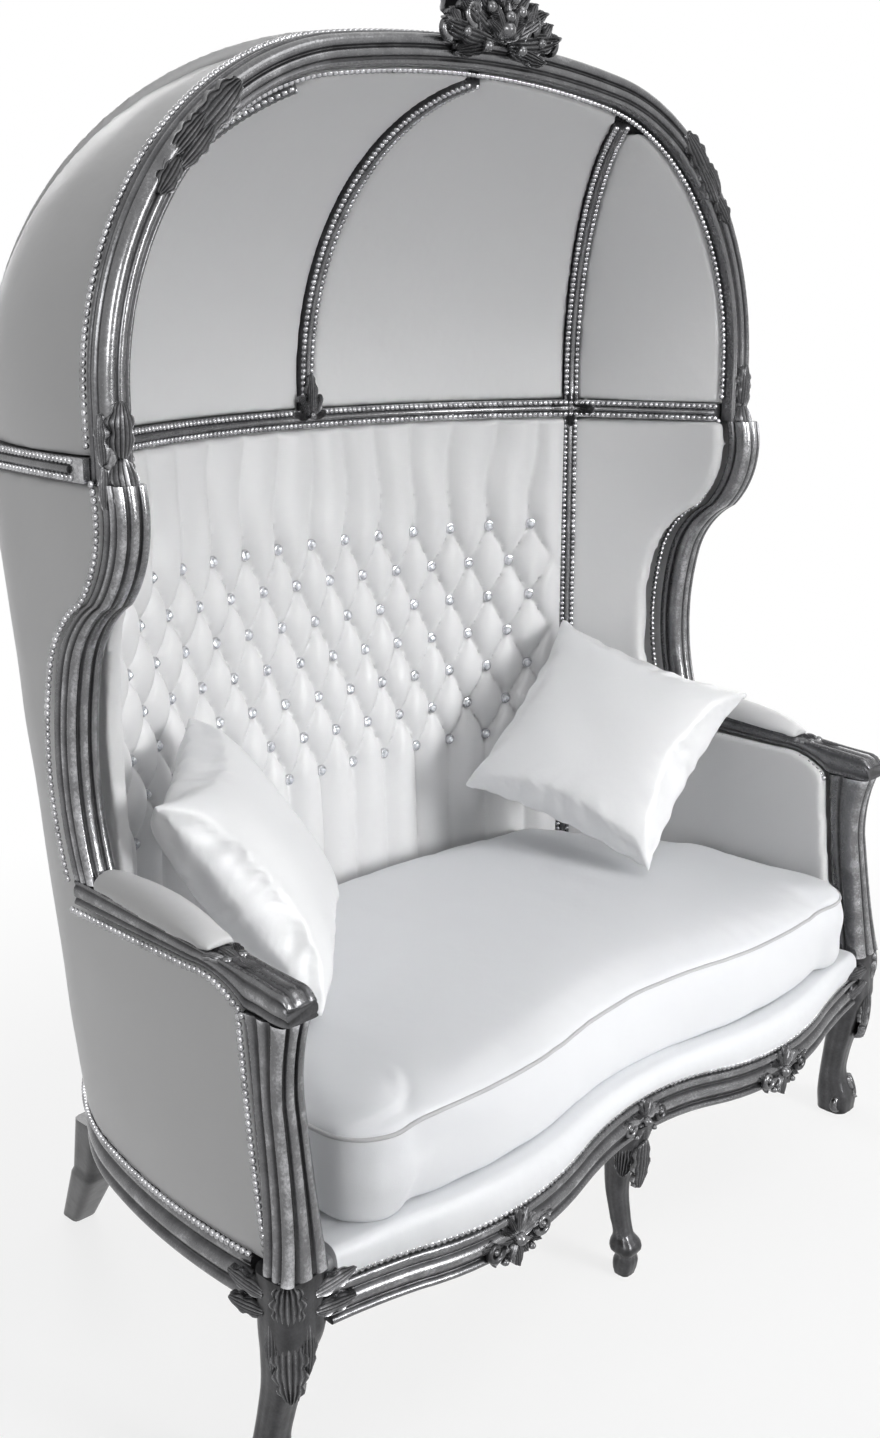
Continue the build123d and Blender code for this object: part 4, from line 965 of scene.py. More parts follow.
def make_rib(name, meridian, node, flip):
    """A trim rib inside the dome with a row of nailheads on each side."""
    profile = [(up, out, relief) for out, up, relief in bead_profile(rib_width / 2, 3.5, 26)]
    rib_proud = 5
    rib_end = 0.985
    steps = 54
    rings = []
    for i in range(steps):
        share = i / (steps - 1) * rib_end
        rings.append([meridian.at(share, -rib_proud - out, aside)[0] for aside, out, *_ in profile])
    heap = Heap()
    heap.sections(rings, profile)
    nails = Heap()
    for aside in (-trim_nail_gap, trim_nail_gap):
        drive_nails(nails, [meridian.at(0.02 + 0.96 * i / 40, -5.8, aside) for i in range(41)])
    if flip:
        both_sides(heap, name, silver_trim, node, moulding_crisp)
        both_sides(nails, name + "-nails", nail_silver)
    else:
        heap.piece(name, silver_trim, (node,), moulding_crisp)
        nails.piece(name + "-nails", nail_silver)


def make_back_posts():
    """Upright trims between the tufted back and the side panels."""
    foot = Vector((star_x, star_y, 0))
    profile = bead_profile(13, 4, 30)
    heap = Heap()
    rings = []
    for height in range(seat_rail_top, canopy_rail_bottom + 1, 61):
        base = foot + Vector((0, 0, height))
        rings.append([base + star_facing * out + star_across * aside for out, aside, *_ in profile])
    heap.sections(rings, profile)
    both_sides(heap, "back-post", silver_trim, "back_post", moulding_crisp)
    nails = Heap()
    for aside in (-trim_nail_gap, trim_nail_gap):
        base = foot + star_facing * 0.8 + star_across * aside
        ends = (deck_top + 20, canopy_rail_bottom - 8)
        drive_nails(nails, [(base + Vector((0, 0, height)), star_facing) for height in ends])
    both_sides(nails, "back-post-nails", nail_silver)


make_canopy_rail()
make_rib("side-rib", side_meridian, "side_rib", True)
make_rib("centre-rib", centre_meridian, "centre_rib", False)
make_back_posts()


# Seat rails
apron_height = 54
side_rail_height = 64
rail_split_x = 450
side_rail_front = 272
# The third values paint shade in the grooves and a highlight on the beads.
apron_profile = rounded([
    (-64, 0.02, -0.2), (-4, 0.0, 0), (0.5, 0.02, 0.2), (2.5, 0.09, 0.3), (0.5, 0.17, 0), (-4.5, 0.21, -0.55),
    (-4, 0.26, -0.5), (-0.5, 0.32, 0), (3.2, 0.42, 0.3), (3.6, 0.52, 0.3), (0.5, 0.62, 0),
    (-4.5, 0.67, -0.55),
    (-4.5, 0.71, -0.5), (-1, 0.76, 0.1), (1.2, 0.84, 0.3), (0.5, 0.93, 0.2), (-2, 1.0, 0), (-64, 0.98, -0.2)])


def front_stations(short, count=150):
    """Places along the seat's front, each with its way out; the row stops short of the rail's ends."""
    for i in range(count + 1):
        x = mix(-rail_end_x + short, rail_end_x - short, i / count)
        slope = front_plan(x + 3).y - front_plan(x - 3).y
        yield Vector((x, front_plan(x).y, apron_low(x).z)), Vector((slope, -6, 0)).normalized()


def make_front_rail():
    """The scalloped seat rail and the nailheads along its top."""
    rings = []
    nail_row = []
    for foot, out in front_stations(1):
        rings.append([foot + out * reach + Vector((0, 0, up * apron_height))
                      for reach, up, *_ in apron_profile])
        nail_row.append((foot - out * 3.6 + Vector((0, 0, apron_height + 5.5)), out))
    heap = Heap()
    heap.sections(rings, apron_profile)
    heap.piece("front-rail", silver_moulding, ("front_rail",), moulding_crisp)
    nails = Heap()
    drive_nails(nails, nail_row)
    nails.piece("front-nails", nail_silver)


def make_side_rails():
    """The seat rail around the sides and the back."""
    profile = [(out, up * side_rail_height, relief) for out, up, relief in apron_profile]
    path = evenly(outer_path(0, seat_rail_bottom, 24), 12)
    corner = [index for index, (spot, _) in enumerate(path) if spot.x < rail_split_x and spot.y > 0][0]
    side = [pair for pair in path[:corner + 1] if pair[0].y > -side_rail_front]
    back = path[corner:]
    heap = Heap()
    sweep(heap, side, profile)
    both_sides(heap, "side-rail", silver_moulding, "side_rail", moulding_crisp)
    heap = Heap()
    sweep(heap, back, profile)
    heap.join(heap.flipped())
    heap.piece("back-rail", silver_moulding, ("back_rail",), moulding_crisp)
    nails = Heap()
    lift = Vector((0, 0, side_rail_height + 6.5))
    drive_nails(nails, [(point + normal * 5 + lift, normal) for point, normal in side + back[1:]])
    nails.join(nails.flipped())
    nails.piece("seat-rail-nails", nail_silver)


make_front_rail()
make_side_rails()


# Tufted back
def tuft_front(x, height):
    """How far back the mean front of the tufted back lies at a place."""
    share = (height - deck_top) / (canopy_rail_bottom - deck_top)
    centre = mix(tuft_base_depth, inner_depth, share)
    return centre - (centre - star_y) * abs(x / star_x) ** mix(3.8, 2, share)


def tuft_face(x, height):
    """Point of the back's mean front and its normal towards the seat."""
    slope = (tuft_front(x + 2, height) - tuft_front(x - 2, height)) / 4
    return Vector((x, tuft_front(x, height), height)), Vector((slope, -1, 0)).normalized()


tuft_bottom_height = tuft_top_height - (tuft_rows - 1) * tuft_row_pitch


def tuft_relief(x, height):
    """Height of the stuffing over the mean front, and the painted shade of the fold it lies in."""
    column = x / tuft_pitch
    row = (min(max(height, tuft_bottom_height), tuft_top_height) - tuft_bottom_height) / (2 * tuft_row_pitch)
    beyond = max(height - tuft_top_height, tuft_bottom_height - height, 0)
    above = height > tuft_top_height
    lean = 0.12 * sin(height * 0.02 + x * 0.013) * min(beyond / 60, 1) if above else 0
    one = abs(sin(pi * (column + row + lean)))
    two = abs(sin(pi * (column - row + lean)))
    shape = (one * two) ** 0.42
    room = canopy_rail_bottom - tuft_top_height if above else tuft_bottom_height - deck_top
    fade = 1 - 0.62 * min(beyond / room, 1)
    edge = step_share(tuft_edge, tuft_edge - 34, abs(x))
    rise = (-9 + 23 * shape) * fade * edge + 3 * (1 - fade)
    k = round((height - tuft_bottom_height) / tuft_row_pitch)
    if 0 <= k < tuft_rows:
        nearest = (round(column - (k % 2) / 2) + (k % 2) / 2) * tuft_pitch
        away = hypot(x - nearest, height - tuft_bottom_height - k * tuft_row_pitch)
        if abs(nearest) < tuft_edge - 20:
            rise -= 6.5 * exp(-(away / 12) ** 2)
    soft = noise.noise(Vector((x, height, 3)) * 0.013) * 2.4
    # The second value is painted shade, darker the deeper the fold.
    return rise + soft * edge, -0.30 * (1 - shape) ** 5 * fade


def make_tufted_back():
    """The diamond-tufted back, with folds that run up and down beyond the buttons."""
    columns, rows = 250, 226
    front, back, relief = [], [], []
    for j in range(rows + 1):
        height = mix(deck_top + 0.5, canopy_rail_bottom - 1, j / rows)
        for i in range(columns + 1):
            x = mix(-tuft_edge, tuft_edge, i / columns)
            spot, normal = tuft_face(x, height)
            rise, fold = tuft_relief(x, height)
            hem = step_share(0, 8, min(j, rows - j) * 4)
            front.append(spot + normal * (rise * hem - 5 * (1 - hem)))
            relief.append(fold)
            back.append(spot - normal * 26)
    faces = skin_faces(rows + 1, columns + 1)
    relief += [0.0] * len(back)
    make_piece(
        "tufted-back", front + back, faces, body_leather, ("tufted_back",), relief, leather_crisp)


def button_spots():
    """Places of the buttons, with the way each faces."""
    for row in range(tuft_rows):
        height = tuft_bottom_height + row * tuft_row_pitch
        for column in range(-tuft_columns + 1, tuft_columns):
            if (column + row % 2) % 2 == 0:
                yield tuft_face(column * tuft_pitch / 2, height)


def make_buttons():
    """Faceted stones in silver rims, one at each corner of the diamonds."""
    stones, rims = Heap(), Heap()
    for spot, normal in button_spots():
        side = Vector((0, 0, 1)).cross(normal).normalized()
        up = Vector((0, 0, 1))

        def ring(radius, rise, turn, count):
            angles = [2 * pi * (k + turn) / count for k in range(count)]
            return [spot + (side * cos(a) + up * sin(a)) * radius + normal * rise for a in angles]

        facets = [ring(7.2, -6, 0, 8), ring(7.4, -1.5, 0, 8), ring(5.6, 2.2, 0.5, 8), ring(3.2, 4.2, 0, 8)]
        stones.rings(facets)
        cup = [ring(6.5, -11, 0, 16), ring(9.6, -6.5, 0, 16), ring(9.9, -3.5, 0, 16), ring(8.9, -1.2, 0, 16),
               ring(7.4, -0.8, 0, 16), ring(7.0, -5, 0, 16)]
        rims.rings(cup)
    stones.piece("crystal-stones", crystal, ("crystal_buttons",), stone_crisp)
    rims.piece("button-rims", rim_silver, (), rim_crisp)


# Stuffed cushion and pillows
cloth_steps = 20


def inflate(piece, voxel, pressure, cap, smooth):
    """Evens the mesh, blows it up as cloth with a limit on each point's travel, and keeps the result."""
    scene = bpy.context.scene
    remesh = piece.modifiers.new("even", "REMESH")
    remesh.mode = "VOXEL"
    remesh.voxel_size = voxel
    even = kept_mesh(piece)
    piece.data = even
    rest = [vertex.co.copy() for vertex in even.vertices]
    cloth = piece.modifiers.new("cloth", "CLOTH")
    cloth.settings.quality = 3
    cloth.settings.mass = 0.3
    cloth.settings.tension_stiffness = 12
    cloth.settings.compression_stiffness = 12
    cloth.settings.shear_stiffness = 5
    cloth.settings.bending_stiffness = 0.4
    cloth.settings.use_pressure = True
    cloth.settings.uniform_pressure_force = pressure
    cloth.settings.effector_weights.gravity = 0
    cloth.collision_settings.use_collision = False
    cloth.point_cache.frame_start = 1
    cloth.point_cache.frame_end = cloth_steps
    for step in range(1, cloth_steps + 1):
        scene.frame_set(step)
    blown = kept_mesh(piece)
    scene.frame_set(1)
    moved = []
    for start, end in zip(rest, blown.vertices):
        travel = end.co - start
        if travel.length > cap:
            travel *= cap / travel.length
        moved.extend(start + travel)
    even.vertices.foreach_set("co", moved)
    bpy.data.meshes.remove(blown)
    for polygon in even.polygons:
        polygon.use_smooth = True
    even.update()
    if smooth:
        relax = piece.modifiers.new("relax", "SMOOTH")
        relax.factor = 0.5
        relax.iterations = smooth
        piece.data = kept_mesh(piece)


def refine(piece):
    """Makes the mesh finer when it is shown."""
    finer = piece.modifiers.new("finer", "SUBSURF")
    finer.levels = 1
    finer.render_levels = 1


def loose_piece(name, points, faces):
    """A new object from millimetre points, without a finish yet."""
    mesh = bpy.data.meshes.new(name)
    mesh.from_pydata([metres(point) for point in points], [], faces)
    piece = bpy.data.objects.new(name, mesh)
    bpy.context.scene.collection.objects.link(piece)
    return piece


def cushion_outline():
    """Plan of the seat cushion, from the middle of the front round its right side and back again."""
    front, hollow, corner_y, side_x = bow_front - 4, valley_front - 4, rail_end_front - 4, 596
    rear_y = tuft_front(430, deck_top) - 11
    turn = Vector((bow_x / 2, -mix(hollow, front, 0.5), 0))
    bow = Vector((bow_x, -front, 0))
    swell = Vector((mix(bow_x, side_x, 0.60), -mix(front, corner_y, 0.40), 0))
    shoulder = Vector((mix(bow_x, side_x, 0.95), -mix(front, corner_y, 1.10), 0))
    side = Vector((side_x, -corner_y * 0.86, 0))
    bend = Vector((side_x, -arch_front, 0))
    corner = Vector((star_x - 28, star_y - 28, 0))
    rear = Vector((430, rear_y, 0))
    over = [Vector((-point.x, point.y, 0)) for point in (turn, rear)]
    middle_front = arc_through(over[0], (0, -hollow, 0), turn, 24)[12:]
    middle_rear = arc_through(rear, (0, tuft_base_depth - 22, 0), over[1], 60)[:31]
    right = middle_front + arc_through(turn, bow, swell, 24)[1:]
    right += arc_through(swell, shoulder, side, 20)[1:]
    for start, end, count in ((side, bend, 24), (bend, corner, 24), (corner, rear, 8)):
        right += [start.lerp(end, i / count) for i in range(1, count + 1)]
    right += middle_rear[1:]
    left = [Vector((-point.x, point.y, 0)) for point in reversed(right[1:-1])]
    loop = with_normals(right + left, Vector((0, 0, 1)))
    return evenly(loop + [loop[0]], 9)[:-1]


cushion_low = deck_top + 0.5


def cushion_rings(outline):
    """The cushion's sewn form: rings up its border and in over its top."""
    rings = []
    sides = [
        (cushion_low, 22), (cushion_low + 1, 14), (352, 7), (375, 3), (408, 1.5), (440, 2.5),
        (460, 5), (welt_height - 2, 8)]
    for height, inset in sides:
        rings.append([Vector((spot.x, spot.y, height)) - normal * inset for spot, normal in outline])
    centre_y = -20
    for spread in (0.985, 0.96, 0.92, 0.86, 0.78, 0.68, 0.56, 0.42, 0.28, 0.14, 0.03):
        height = welt_height - 1 + 15 * (1 - spread ** 2.6) ** 0.8
        ring = []
        for spot, normal in outline:
            y = (spot.y - centre_y) * spread + centre_y
            ring.append(Vector((spot.x * spread, y, height)) - normal * 8 * spread)
        rings.append(ring)
    return rings


def crease_cushion(mesh):
    """Slack over the whole cushion, folds in its front corners and one crease at the left; in metres."""
    lowest = cushion_low * 0.001
    crease_x, crease_y, crease_radius, crease_depth = -0.515, -0.285, 0.082, 0.0040
    moved = []
    for vertex in mesh.vertices:
        spot = vertex.co
        near = step_share(0.30, 0.36, -spot.y) * step_share(0.34, 0.50, abs(spot.x))
        ripple = noise.noise(Vector((spot.x * 16, spot.y * 5, spot.z * 22))) * 0.0024
        fold = sin(spot.z * 95 + spot.x * 9) * 0.0016 * near
        x, y = spot.x - crease_x, spot.y - crease_y
        bend = hypot(x, y) - crease_radius
        swept = step_share(0, 0.4, -atan2(y, x)) if spot.z > 0.47 else 0
        crease = exp(-((bend + 0.008) / 0.007) ** 2) * 0.6 - exp(-(bend / 0.006) ** 2)
        crease *= crease_depth * swept
        spot = spot + vertex.normal * (ripple * 0.7 + fold + crease)
        moved.extend((spot.x, spot.y, max(spot.z, lowest)))
    mesh.vertices.foreach_set("co", moved)


def make_cushion():
    """The bowed seat cushion, blown up, with a crease at its left corner and a welt."""
    outline = cushion_outline()
    heap = Heap()
    heap.rings(cushion_rings(outline))
    piece = loose_piece("seat-cushion", heap.points, heap.faces)
    inflate(piece, 0.009, 3.5, 0.014, 3)
    crease_cushion(piece.data)
    refine(piece)
    settle(piece, seat_leather, ("seat_cushion",))
    tree = skin_tree(piece.data)
    path = []
    for spot, normal in outline:
        start = metres(Vector((spot.x, spot.y, welt_height)) + normal * 10)
        found = tree.find_nearest(start)
        path.append(Vector((found[0].x * 1000, found[0].y * 1000 + plan_shift, found[0].z * 1000)))
    for _ in range(3):
        path = [(path[i - 1] + path[i] * 2 + path[(i + 1) % len(path)]) / 4 for i in range(len(path))]
    make_welt(path)


def make_welt(path):
    """The closed round cord along the cushion's upper seam."""
    sides = 8
    rings = []
    count = len(path)
    for i, point in enumerate(path):
        ahead = (path[(i + 1) % count] - path[i - 1]).normalized()
        side = ahead.cross(Vector((0, 0, 1))).normalized()
        up = side.cross(ahead)
        angles = [2 * pi * k / sides for k in range(sides)]
        rings.append([point + (side * cos(a) + up * sin(a)) * welt_radius for a in angles])
    heap = Heap()
    heap.rings(rings, None, True)
    heap.piece("seat-welt", welt_leather, (), carving_crisp)


def make_pillow(name, origin, along, facing, node, seed):
    """A square pillow about its middle: along one side, and facing the way its front looks."""
    facing = Vector(facing).normalized()
    along = Vector(along)
    along = (along - facing * along.dot(facing)).normalized()
    across = facing.cross(along)
    origin = Vector(origin)
    count = 56
    half, draw, thick = 198, 15, 52
    upper, lower = [], []
    for j in range(count + 1):
        for i in range(count + 1):
            a, b = 2 * i / count - 1, 2 * j / count - 1
            x = a * (half - draw * (1 - b * b) * abs(a) ** 3)
            y = b * (half - draw * (1 - a * a) * abs(b) ** 3)
            lift = thick * ((1 - abs(a) ** 2.6) * (1 - abs(b) ** 2.6)) ** 0.62 + 1.5
            spot = origin + along * x + across * y
            upper.append(spot + facing * lift)
            lower.append(spot - facing * lift)
    piece = loose_piece(name, upper + lower, skin_faces(count + 1, count + 1))
    inflate(piece, 0.0065, 5.0, 0.014, 1)
    middle = metres(origin)
    moved = []
    for vertex in piece.data.vertices:
        spot = vertex.co - middle
        a, b = spot.dot(along) / 0.2, spot.dot(across) / 0.2
        rim = max(abs(a), abs(b))
        turn = atan2(b, a)
        band = step_share(0.45, 0.9, rim) * (1 - step_share(0.93, 1, rim))
        crease = sin(turn * 22 + seed + 3 * noise.noise(vertex.co * 14)) * band
        slack = noise.noise(vertex.co * 11 + Vector((seed, 0, 0))) * (1 - rim * 0.5)
        moved.extend(vertex.co + vertex.normal * (crease * 0.0016 + slack * 0.0045))
    piece.data.vertices.foreach_set("co", moved)
    refine(piece)
    settle(piece, pillow_cover, (node,))


def make_seat_border():
    """The platform's stuffed front between the cushion and the carved rail."""
    # The third values paint shade where the border tucks in at top and bottom.
    profile = rounded([
        (-60, 0, 0), (-5, 0, -0.2), (-3.5, 0.08, -0.1), (1.0, 0.25, 0), (3.2, 0.5, 0), (1.5, 0.78, 0),
        (-5, 0.96, -0.1), (-14, 1.02, -0.2), (-60, 1.0, 0)])
    rings = []
    for foot, out in front_stations(8):
        low = foot.z + apron_height + fit_gap
        rings.append([Vector((foot.x, foot.y, mix(low, deck_top, up))) + out * reach
                      for reach, up, *_ in profile])
    heap = Heap()
    heap.sections(rings, profile)
    piece = heap.piece("seat-border", seat_leather, (), leather_crisp)


make_tufted_back()
make_buttons()
make_cushion()
make_pillow(
    "throw-pillow-left", (-387.4, 70.5, 676.1), (0.66, 0.75, 0.03), (0.58, -0.595, 0.556),
    "throw_pillow_left", 1)
make_pillow(
    "throw-pillow-right", (394.1, 56.9, 691.6), (0.243, -0.936, -0.255), (-0.665, -0.352, 0.658),
    "throw_pillow_right", 5)
make_seat_border()
for side in ("left", "right"):
    upholster("arm-pad-" + side, "arm_pad_" + side, body_leather, 0.004, 3, 16, 20)


# Carving
def slab(heap, upper, lower, relief):
    """A closed skin between an upper and a lower grid of points."""
    rows, width = len(upper), len(upper[0])
    points = [spot for row in upper + lower for spot in row]
    # The lower skin gets painted shade.
    heap.add(points, skin_faces(rows, width), relief + [-0.3] * (rows * width))


def leaf(heap, root, along, facing, length, width, lift=6, curl=0.0, lobes=3, bend=0.0):
    """A carved leaf with veins, a scalloped edge and a tip that rolls over."""
    root, along, facing = Vector(root), Vector(along).normalized(), Vector(facing).normalized()
    across = along.cross(facing).normalized()
    steps = 18
    upper, lower, relief = [], [], []
    for j in range(steps + 1):
        u = j / steps
        roll = max(u - 0.68, 0) / 0.32
        spine = root + along * length * (u - 0.12 * roll * roll) + across * bend * length * u * u
        spine += facing * (lift * sin(pi * (0.12 + 0.78 * u)) + curl * roll ** 2)
        half = width / 2 * max(sin(pi * (0.10 + 0.88 * u) ** 0.78), 0.12) ** 0.75
        notch = 0.30 * abs(cos(pi * lobes * u)) ** 3 * min(u * 3, 1)
        top, low = [], []
        for i in range(-6, 7):
            v = i / 6
            vein = 1 if i % 2 == 0 else -1
            depth = min(half * 0.11, 1.3)
            spot = spine + across * half * v * (1 - notch * v * v) + along * abs(v) * half * 0.45
            top.append(spot + facing * (vein * depth - v * v * lift * 0.7))
            low.append(spot - facing * (lift * 0.7 * v * v + lift * 0.9 + depth))
            # Raised veins get painted highlight and sunk ones painted shade; the midrib a little more
            # highlight.
            relief.append((0.24 if vein > 0 else -0.26) + (0.12 if i == 0 else 0))
        upper.append(top)
        lower.append(low)
    slab(heap, upper, lower, relief)


def scroll(heap, centre, axis, start, radius, turns, thick, hand=1):
    """A volute that winds in to its eye."""
    centre, axis = Vector(centre), Vector(axis).normalized()
    one = Vector(start).normalized()
    two = axis.cross(one) * hand
    rings, painted_shadings = [], []
    count = int(turns * 22)
    for k in range(count + 1):
        share = k / count
        turn = 2 * pi * turns * share
        out = one * cos(turn) + two * sin(turn)
        spot = centre + out * radius * (1 - 0.80 * share)
        size = thick * (1 - 0.55 * share)
        angles = [2 * pi * m / 10 for m in range(10)]
        rings.append([spot + (out * cos(a) + axis * 1.5 * sin(a)) * size for a in angles])
        # Painted highlight where the coil faces along its axis, painted shade round its rim.
        painted_shadings.append([0.25 * abs(sin(a)) - 0.1 for a in angles])
    heap.rings(rings, painted_shadings)
    boss(heap, centre - axis * thick, axis, thick * 1.1, thick * 2.4)


def boss(heap, centre, facing, radius, height):
    """A round knob."""
    centre, facing = Vector(centre), Vector(facing).normalized()
    side = facing.orthogonal().normalized()
    other = facing.cross(side)
    rings = []
    angles = [2 * pi * k / 14 for k in range(14)]
    for reach, rise in ((0.9, 0), (1, 0.35), (0.86, 0.68), (0.55, 0.92), (0.15, 1)):
        foot = centre + facing * height * rise
        rings.append([foot + (side * cos(a) + other * sin(a)) * radius * reach for a in angles])
    # A knob gets a little painted highlight.
    heap.rings(rings, [[0.12] * len(angles)] * len(rings))


def fan(heap, root, up, facing, count, spread, length, width, lift, curl=0.0, fall=0.25):
    """Leaves that spread from one root, longest in the middle."""
    up, facing = Vector(up).normalized(), Vector(facing).normalized()
    for i in range(count):
        share = 2 * i / (count - 1) - 1 if count > 1 else 0
        turn = Matrix.Rotation(radians(spread * share), 3, facing)
        size = length * (1 - fall * abs(share) ** 1.5)
        lead = facing * (1.5 * (1 - abs(share)))
        leaf(heap, Vector(root) + lead, turn @ up, facing, size, width, lift, curl, 2)


front = Vector((0, -1, 0))


def on_arch(x, out, up):
    """A place in front of the arch's crown and above its top."""
    return Vector((x, -arch_front - out, arch_top_height + up))


def make_crest():
    """Leaves, scrolls and knobs about a small flower, the same on both sides."""
    heap = Heap()
    fan(heap, on_arch(0, 5, 5), (0, 0, 1), front, 7, 70, 97, 30, 8, 8, 0.22)
    fan(heap, on_arch(0, 15, -5), (0, 0, 1), front, 5, 58, 56, 22, 7, 7, 0.15)
    boss(heap, on_arch(0, 9, 7), front, 13, 22)
    for side in (1, -1):
        leaf(heap, on_arch(side * 18, 7, -8), (side, 0, 0.10), front, 112, 38, 8, 10, 4, side * -0.05)
        leaf(heap, on_arch(side * 20, 9, 1), (side, 0, 0.55), front, 84, 32, 8, 10, 3)
        leaf(heap, on_arch(side * 26, 5, -13), (side, 0, -0.22), front, 74, 26, 7, 7, 3)
        scroll(heap, on_arch(side * 58, 10, 23), front, (0, 0, -1), 17, 1.35, 5.2, side)
        scroll(heap, on_arch(side * 102, 7, 1), front, (0, 0, -1), 15, 1.3, 4.8, side)
        boss(heap, on_arch(side * 34, 11, -17), front, 8, 12)
        leaf(heap, on_arch(side * 60, -15, 1), (side * 0.5, 0.1, 1), (0, 1, 0), 60, 34, 7, 5, 3)
        leaf(heap, on_arch(side * 44, 8, -5), (side * 0.42, 0, 1), front, 64, 34, 8, 8, 3)
        leaf(heap, on_arch(side * 78, 6, -9), (side * 0.7, 0, 1), front, 46, 28, 7, 8, 3)
        boss(heap, on_arch(side * 30, 12, 33), front, 9, 13)
        boss(heap, on_arch(side * 76, 11, -3), front, 7, 11)
        boss(heap, on_arch(side * 14, 15, 47), front, 8, 12)
    petals = 6
    for petal in range(petals):
        angle = 2 * pi * petal / petals
        along = Vector((cos(angle), 0, sin(angle)))
        leaf(heap, on_arch(0, 17, 23) + along * 13, along, front, 20, 17, 5, 2, 1)
    boss(heap, on_arch(0, 17, 23), front, 9, 15)
    fan(heap, on_arch(0, -21, 1), (0, 0, 1), (0, 1, 0), 5, 60, 78, 34, 8, 4, 0.2)
    heap.piece("crest", silver, ("crest",), carving_crisp)


def make_arch_leaves():
    """Leaves over the joints of the arch."""
    heap = Heap()
    joint = radians(46)
    for lead, size, wide, aside in ((-8, 108, 44, 0), (-52, 84, 34, 6), (-46, 74, 30, -8)):
        x, z = arch_point(arch_face_width / 2 + aside, joint + lead / arch_shoulder_radius)
        root = Vector((x, -arch_front + 3, z))
        along = Vector((-sin(joint + lead * 0.001), 0, cos(joint + lead * 0.001)))
        leaf(heap, root, along, front, size, wide, 7, 3, 4)
    x, z = arch_point(arch_face_width / 2, joint - 0.10)
    leaf(heap, (x, -arch_front + 3, z), (sin(joint - 0.12), 0, -cos(joint - 0.12)), front, 60, 34, 6, 3, 3)
    heap.join(heap.flipped())
    heap.piece("arch-leaves", silver, ("arch_leaves",), carving_crisp)


def make_shoulder_leaves():
    """Leaves up and down from the canopy rail, on the frame's face and its outside."""
    shoulder = Heap()
    x = frame_inner + arch_face_width / 2
    leaf(shoulder, (x, -arch_front + 2, canopy_rail_top - 3), (0, 0, 1), front, 78, 40, 7, 4, 3)
    leaf(shoulder, (x, -arch_front + 1, canopy_rail_top + 1), (0, -0.16, -1), front, 84, 42, 9, 5, 3)
    leaf(shoulder, (frame_half_width - 3, -24, canopy_rail_top - 9), (0, 0, -1), (1, 0, 0), 58, 26, 4, 2, 3)
    leaf(shoulder, (frame_half_width - 3, -22, canopy_rail_top - 9), (0, 0, 1), (1, 0, 0), 70, 26, 4, 2, 3)
    shoulder.join(shoulder.flipped())
    shoulder.piece("shoulder-leaves", silver, ("shoulder_leaves",), carving_crisp)


def make_rosettes():
    """The stars where the back posts meet the canopy rail."""
    heap = Heap()
    facing, across = star_facing, star_across
    middle = (canopy_rail_bottom + canopy_rail_top) / 2
    centre = Vector((star_x, star_y, middle)) + facing * 5
    for sense in (1, -1):
        leaf(heap, centre, across * sense + facing * 0.35, facing, 50, 22, 4, 0, 2)
        leaf(heap, centre, Vector((0, 0, sense)), facing, 36, 20, 4, 0, 2)
        for tilt in (1, -1):
            leaf(heap, centre, across * sense * 0.8 + Vector((0, 0, tilt)), facing, 22, 12, 3, 0, 1)
    boss(heap, centre, facing, 8, 8)
    heap.join(heap.flipped())
    heap.piece("star-rosettes", silver, ("star_rosettes",), carving_crisp)


def make_rib_foot():
    """Leaves and a knob at the foot of the middle rib."""
    foot = Heap()
    root = Vector((0, inner_depth - 13, canopy_rail_top - 13))
    leaf(foot, root + Vector((0, 2, 0)), (0, -0.02, 1), (0, -1, 0), 78, 26, 5, 1, 3)
    for side in (1, -1):
        leaf(foot, root + Vector((side * 4, 3, 2)), (side * 0.55, 0.02, 1), (0, -1, 0), 44, 20, 4, 1, 2)
        leaf(foot, root + Vector((side * 4, 4, 0)), (side, 0.06, 0.22), (0, -1, 0), 36, 16, 4, 1, 2)
    boss(foot, root + Vector((0, 0, 4)), (0, -1, 0), 7, 8)
    foot.piece("rib-foot-leaves", silver, ("rib_foot_carving",), carving_crisp)


def rail_carving(heap, x, top, size):
    """A shell over a hanging drop, between two volutes, on the front of the seat rail."""
    y = front_plan(x).y
    slope = (front_plan(x + 4).y - front_plan(x - 4).y) / 8
    facing = Vector((slope, -1, 0)).normalized()
    across = Vector((1, slope, 0)).normalized()
    centre = Vector((x, y, top - size * 0.48)) - facing * 3
    fan(heap, centre, (0, 0, 1), facing, 7, 78, size * 0.62, size * 0.24, 6, 4, 0.12)
    fan(heap, centre + facing * 2, (0, 0, -1), facing, 3, 34, size * 0.58, size * 0.26, 6, 4, 0.2)
    boss(heap, centre, facing, size * 0.13, 17)
    for side in (1, -1):
        eye = centre + across * side * size * 0.60 + Vector((0, 0, size * 0.02)) + facing * 5
        scroll(heap, eye, facing, across * -side, size * 0.19, 1.4, size * 0.062, side)
        way = across * side
        upper, lower = way + Vector((0, 0, 0.25)), way * 0.8 - Vector((0, 0, 0.62))
        leaf(heap, centre + way * size * 0.30, upper, facing, size * 0.66, size * 0.30, 6, 5, 3)
        leaf(heap, centre + way * size * 0.22, lower, facing, size * 0.52, size * 0.24, 5, 5, 3)
        boss(heap, centre + way * size * 0.34 - Vector((0, 0, size * 0.30)), facing, size * 0.07, 11)


def make_rail_carvings():
    """The three shells on the front rail."""
    heap = Heap()
    rail_carving(heap, bow_x, apron_low(bow_x).z + apron_height, 78)
    heap.join(heap.flipped())
    heap.piece("rail-shells", silver, ("rail_shells",), carving_crisp)
    middle = Heap()
    rail_carving(middle, 0, apron_low(0).z + apron_height - 2, 62)
    middle.piece("rail-centre-shell", silver, ("rail_centre_carving",), carving_crisp)


